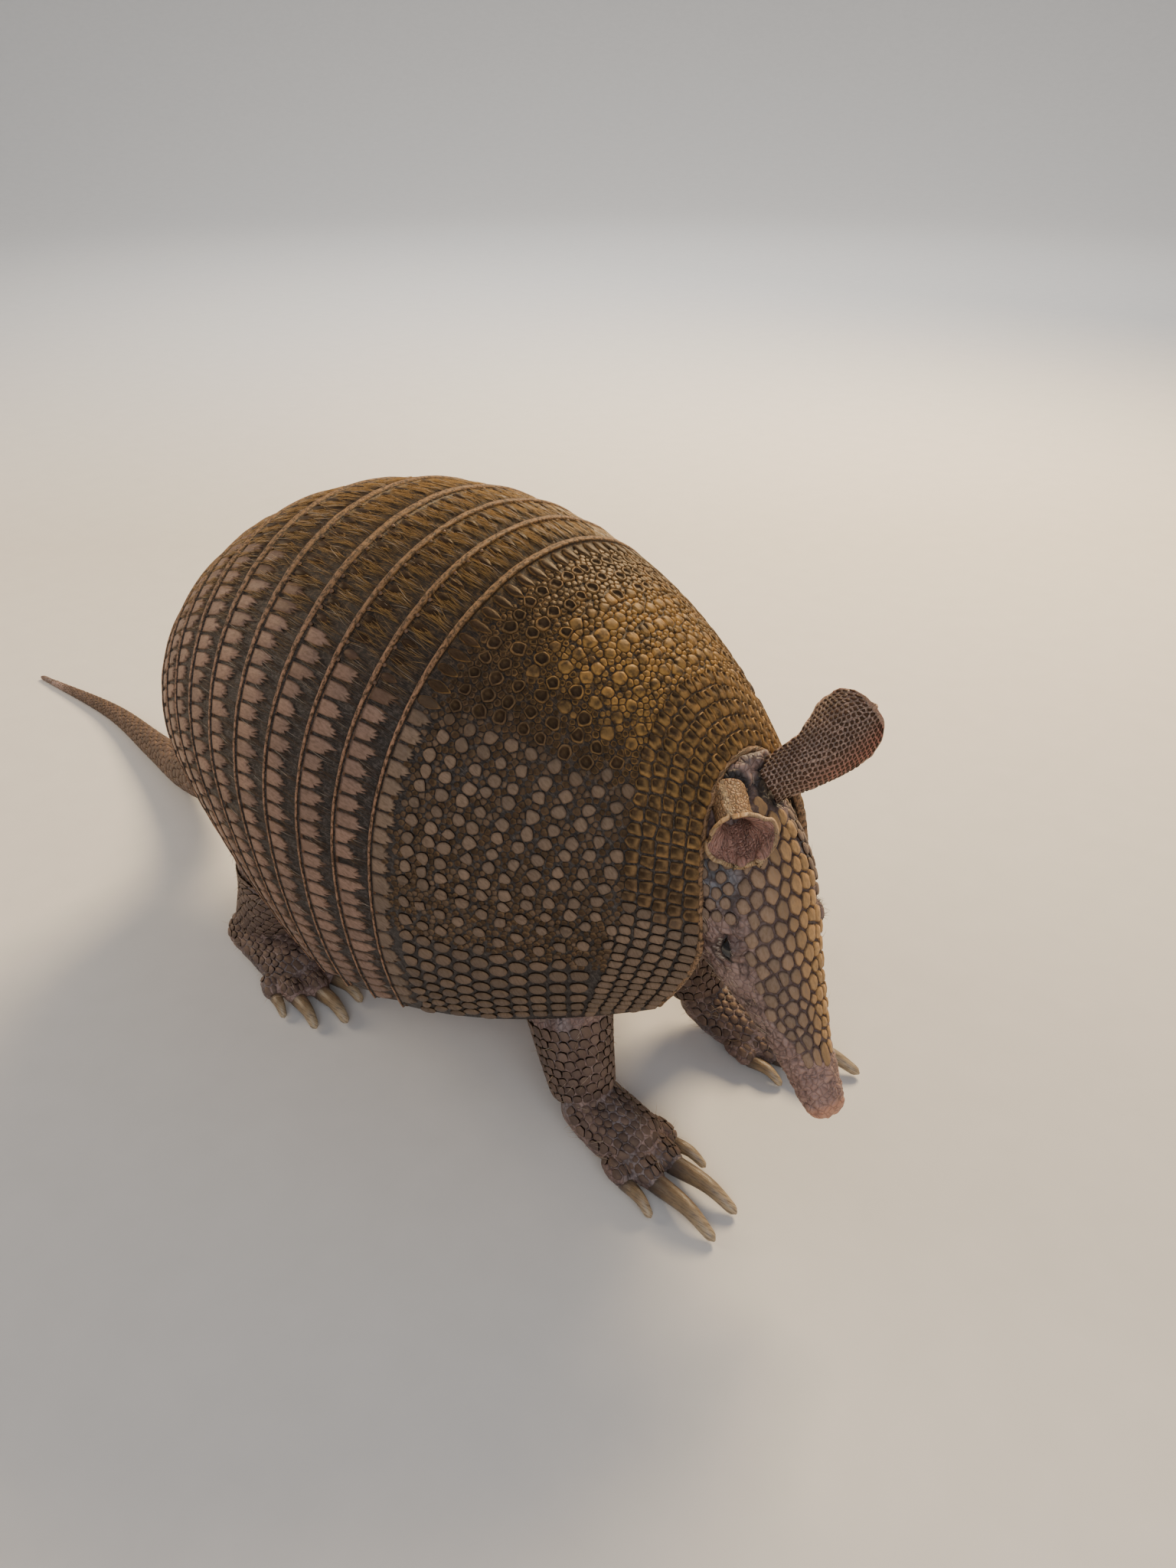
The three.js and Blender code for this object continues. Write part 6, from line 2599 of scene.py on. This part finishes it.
@dataclass
class TailScales:
    """The rings of scales down the tail."""

    first_ring: float = 11.5 * MM
    last_ring: float = 4.2 * MM
    width: float = 4.3 * MM
    height: float = 0.72 * MM
    start: float = 0.03
    end: float = 0.975

    def build(self) -> None:
        """Builds the rings."""
        rng = np.random.default_rng(101)
        surface = TAIL.surface(0)
        sites: list[Site] = []
        u = self.start * surface.length
        while u < self.end * surface.length:
            share = u / surface.length
            ring = mix(self.first_ring, self.last_ring, smooth(0, 0.9, share))
            radius = float(surface.radius_at(np.array([share]))[0])
            width = max(self.width * min(1.0, radius / (8 * MM)), 1.5 * MM)
            count = max(6, int(2 * math.pi * radius / width))
            size = math.pi * radius / count
            # Each ring has two rows: where in the ring it lies, how long it is and how tall.
            for part, long, tall in ((0.24, 0.44, 0.85), (0.72, 0.54, 1.0)):
                for k in range(count):
                    w = 2 * math.pi * (k + 0.5 * (part > 0.5)) / count - math.pi
                    at_u = u + ring * part + rng.normal() * 0.15 * MM
                    at_w = w + rng.normal() * 0.02
                    height = self.height * tall * min(1, radius / (5 * MM))
                    marks = 0.35 * smooth(0.25, 0.0, share) + 0.15, rng.random(), 0.25
                    stretch = min(max(ring * long / (2 * size) * 1.02, 0.7), 1.9)
                    sites.append(Site(at_u, at_w, size * 1.12, height, TAIL_SCALE, marks, stretch))
            u += ring
        scales = Scales(surface, 0.7 * MM, 0.38 * MM)
        scales.fill(sites, True)
        piece = scales.build("tail_scales", (0, surface.length), (-math.pi, math.pi))
        keep_off_floor(piece, 0.02 * MM)
        finish_piece(piece, TAIL_HORN.material())


@dataclass
class LegScales:
    """Rows of flat scales down the legs and over the feet."""

    shank: float = 3.6 * MM
    foot: float = 3.0 * MM
    toe: float = 2.6 * MM
    height: float = 0.62 * MM
    gap: float = 0.45 * MM
    clear_of_floor: float = 1.2 * MM

    def build(self) -> None:
        """Builds the scales of all four legs."""
        rng = np.random.default_rng(111)
        for leg, name, side in LIMBS:
            tubes = leg.tubes(side, 0)
            scales = Scales(tubes["shank"], 0.72 * MM, 0.5 * MM)
            for part, tube in tubes.items():
                scales.use(tube)
                sites = self.sites(part, tubes, rng)
                if sites:
                    scales.fill(sites, True)
            piece = scales.build(f"leg_scales_{leg.name}_{name}", (0, 0.06), (-math.pi, math.pi))
            keep_off_floor(piece, 0.02 * MM)
            finish_piece(piece, TAIL_HORN.material())

    def sites(self, part: str, tubes: dict[str, Tube], rng: np.random.Generator) -> list[Site]:
        """Where the scales of one part of a leg sit.

        Args:
            part: The part's name.
            tubes: All the leg's surfaces; the others hide what lies inside them.
            rng: The order of chance.

        Returns:
            The sites; those inside another part aren't shown.
        """
        found = []
        tube = tubes[part]
        toe = part.startswith("toe")
        step = {"shank": self.shank, "sole": self.foot}.get(part, self.toe)
        u = (0.42 if part == "shank" else 0.2 if toe else 0.04) * tube.length
        row = 0
        while u < (0.86 if toe else 0.97) * tube.length:
            reach = tube.reach_at(u, 0.5)
            limit = {"shank": 150, "sole": 80}.get(part, 62) * DEG
            count = max(1, int(limit * reach / step))
            for k in range(-count, count + 1):
                w = (k + 0.5 * (row % 2)) * step / reach
                if abs(w) < limit:
                    size = step * 0.62 * rng.uniform(0.88, 1.05)
                    marks = (0.12 + 0.3 * rng.random(), rng.random(), 0.15)
                    stretch = 0.95 if part == "shank" else 1.15
                    at_u = u + rng.normal() * 0.2 * MM
                    at_w = w + rng.normal() * 0.02
                    found.append(Site(at_u, at_w, size, self.height, TILE, marks, stretch, gap=self.gap))
            u += step * (0.95 if part == "shank" else 1.12)
            row += 1
        if found:
            places = tube.at(np.array([s.u for s in found]), np.array([s.w for s in found]))
            for other, surface in tubes.items():
                if other == part:
                    continue
                for site, place in zip(found, places):
                    near = np.linalg.norm(surface.line - place, axis=1)
                    index = int(near.argmin())
                    radius = float(surface.radius_at(np.array([index / 160]))[0])
                    if near[index] < radius * (0.93 if surface.flatten == 1 else 0.86):
                        site.shown = False
            for site, place in zip(found, places):
                if place[2] < self.clear_of_floor:
                    site.shown = False
        return found


# ---------------------------------------------------------------- studio


def put_in_scene(name: str, data: bpy.types.ID, place: Sequence[float]) -> Piece:
    """A lamp or a camera, put in the scene at a place."""
    found = bpy.data.objects.new(name, data)
    bpy.context.scene.collection.objects.link(found)
    found.location = place
    return found


@dataclass(frozen=True)
class Lamp:
    """A square soft lamp: where it hangs, what it points at, its width and its watts."""

    name: str
    place: tuple[float, float, float]
    aim: tuple[float, float, float]
    size: float
    power: float
    colour: Colour

    def build(self) -> None:
        """Hangs the lamp."""
        data = bpy.data.lights.new(self.name, "AREA")
        data.size = self.size
        data.energy = self.power
        data.color = self.colour
        way = Vector(self.aim) - Vector(self.place)
        put_in_scene(self.name, data, self.place).rotation_euler = way.to_track_quat("-Z", "Y").to_euler()


@dataclass
class Studio:
    """A pale floor, soft lamps and the camera."""

    camera_place: tuple[float, float, float] = (0.3707, -0.2482, 0.3098)
    azimuth: float = 39.954 * DEG
    elevation: float = 31.699 * DEG
    roll: float = -0.587 * DEG
    lens: float = 27.42
    sensor: float = 36.0
    flat: float = 2.4
    floor_size: float = 20
    floor_curl: float = 0.22
    sky: tuple[float, float, float, float] = (0.86, 0.90, 1.0, 1.0)
    sky_strength: float = 0.42
    lamps: tuple[Lamp, ...] = (
        Lamp("key", (-0.02, 0.85, 0.80), (0.02, 0, 0.10), 0.45, 22.0, (1.0, 0.76, 0.46)),
        Lamp("fill", (0.95, -0.75, 0.75), (0.05, 0, 0.08), 0.8, 7.5, (0.95, 0.96, 1.0)),
        Lamp("backdrop", (-0.5, 0.9, 1.5), (-2.6, 3.4, 0.2), 1.2, 55.0, (1.0, 0.97, 0.93)),
        Lamp("rim", (-0.9, -0.35, 0.6), (0, 0, 0.1), 0.5, 6.0, (1.0, 0.82, 0.60)),
    )

    def floor(self) -> None:
        """Builds the floor, which curls up far from the middle."""
        deselect_all()
        bpy.ops.mesh.primitive_grid_add(x_subdivisions=160, y_subdivisions=160, size=self.floor_size)
        floor = bpy.context.object
        floor.name = "floor"
        places = places_of(floor)
        far = np.maximum(np.hypot(places[:, 0], places[:, 1]) - self.flat, 0)
        places[:, 2] = self.floor_curl * far**2
        move_to(floor, places)
        floor.data.shade_smooth()
        paint = Finish("floor_paper")
        speck = paint.noise(60)
        colour = paint.blend(speck, (0.66, 0.645, 0.62), (0.72, 0.70, 0.675))
        floor.data.materials.append(paint.dress(colour, 0.85, paint.bumps((speck, 0.1))))

    def camera(self) -> None:
        """Sets the camera, turned by its azimuth, elevation and roll."""
        data = bpy.data.cameras.new("camera")
        data.lens = self.lens
        data.sensor_width = self.sensor
        data.clip_start = 0.01
        camera = put_in_scene("camera", data, self.camera_place)
        across = math.cos(self.elevation)
        ahead = [math.sin(self.azimuth) * across, -math.cos(self.azimuth) * across, math.sin(self.elevation)]
        right = np.array([math.cos(self.azimuth), math.sin(self.azimuth), 0.0])
        up = np.cross(ahead, right)
        turned = math.cos(self.roll) * right + math.sin(self.roll) * up
        upright = -math.sin(self.roll) * right + math.cos(self.roll) * up
        camera.rotation_euler = Matrix([turned, upright, ahead]).transposed().to_euler()
        bpy.context.scene.camera = camera

    def build(self) -> None:
        """Sets the floor, the sky, the lamps and the camera."""
        self.floor()
        world = bpy.data.worlds.new("studio")
        bpy.context.scene.world = world
        world.use_nodes = True
        sky = world.node_tree.nodes["Background"].inputs
        sky["Color"].default_value = self.sky
        sky["Strength"].default_value = self.sky_strength
        for lamp in self.lamps:
            lamp.build()
        self.camera()


HORN = HornFinish("horn")
BAND_HORN = HornFinish("band_horn", pale=(0.215, 0.142, 0.112), dark=(0.016, 0.010, 0.008))
# The head plates' middles and rims are golden; on the far side, where the gold mark is high, this is painted
# warm light.
HEAD_HORN = HornFinish(
    "head_horn", groove=(0.028, 0.016, 0.012), dark=(0.30, 0.175, 0.070), pale=(0.185, 0.138, 0.112),
    gold=(0.34, 0.20, 0.08), tan=(0.105, 0.068, 0.050),
)
EAR_HORN = HornFinish(
    "ear_horn", dark=(0.030, 0.016, 0.013), gold=(0.05, 0.028, 0.02), tan=(0.045, 0.025, 0.02),
    groove=(0.04, 0.022, 0.018),
)
TAIL_HORN = HornFinish(
    "tail_horn", dark=(0.052, 0.036, 0.031), pale=(0.22, 0.165, 0.145), gold=(0.19, 0.125, 0.07),
    tan=(0.13, 0.092, 0.075),
)
HAIR = HairFinish("hair")
NEAR_EAR = EarLeaf(
    (0.01, -16 * DEG), (0.688, -0.679, -0.253), (-0.332, 0.795, -0.529), length=22.5 * MM,
    root_radius=5.2 * MM, tip_radius=15 * MM, half_span=13.8 * MM, sunk=0.5 * MM, widest=1.35,
    wave=1.1 * MM, waves=7.0, hood=0.54,
)
FAR_EAR = EarLeaf(
    (0.03, 28 * DEG), (0.456, 0.758, 0.466), (0.546, -0.652, 0.5255), half_span=17.5 * MM,
    wave=0.3 * MM, waves=5.0, narrow=0.46, skew=0.8,
)
NEAR_LEATHER = LeatherFinish("ear_right_skin", (0.25, 0.142, 0.066), (0.34, 0.175, 0.13), (0.47, 0.31, 0.165))
FAR_LEATHER = LeatherFinish("ear_left_skin", (0.27, 0.175, 0.128), (0.36, 0.19, 0.14), (0.42, 0.26, 0.17))


def main() -> None:
    """Builds the armadillo part by part."""
    logging.basicConfig(level=logging.INFO, format="%(message)s")
    for part in (
        ScapularShield(),
        Bands(),
        PelvicShield(),
        Body(),
        HeadPlates(),
        Ear("right", NEAR_EAR, NEAR_LEATHER, pebbles_from=0.4),
        Ear("left", FAR_EAR, FAR_LEATHER),
        Eyes(),
        Claws(),
        TailScales(),
        LegScales(),
        Studio(),
    ):
        LOG.info("building %s", type(part).__name__)
        part.build()


if __name__ == "__main__":
    main()
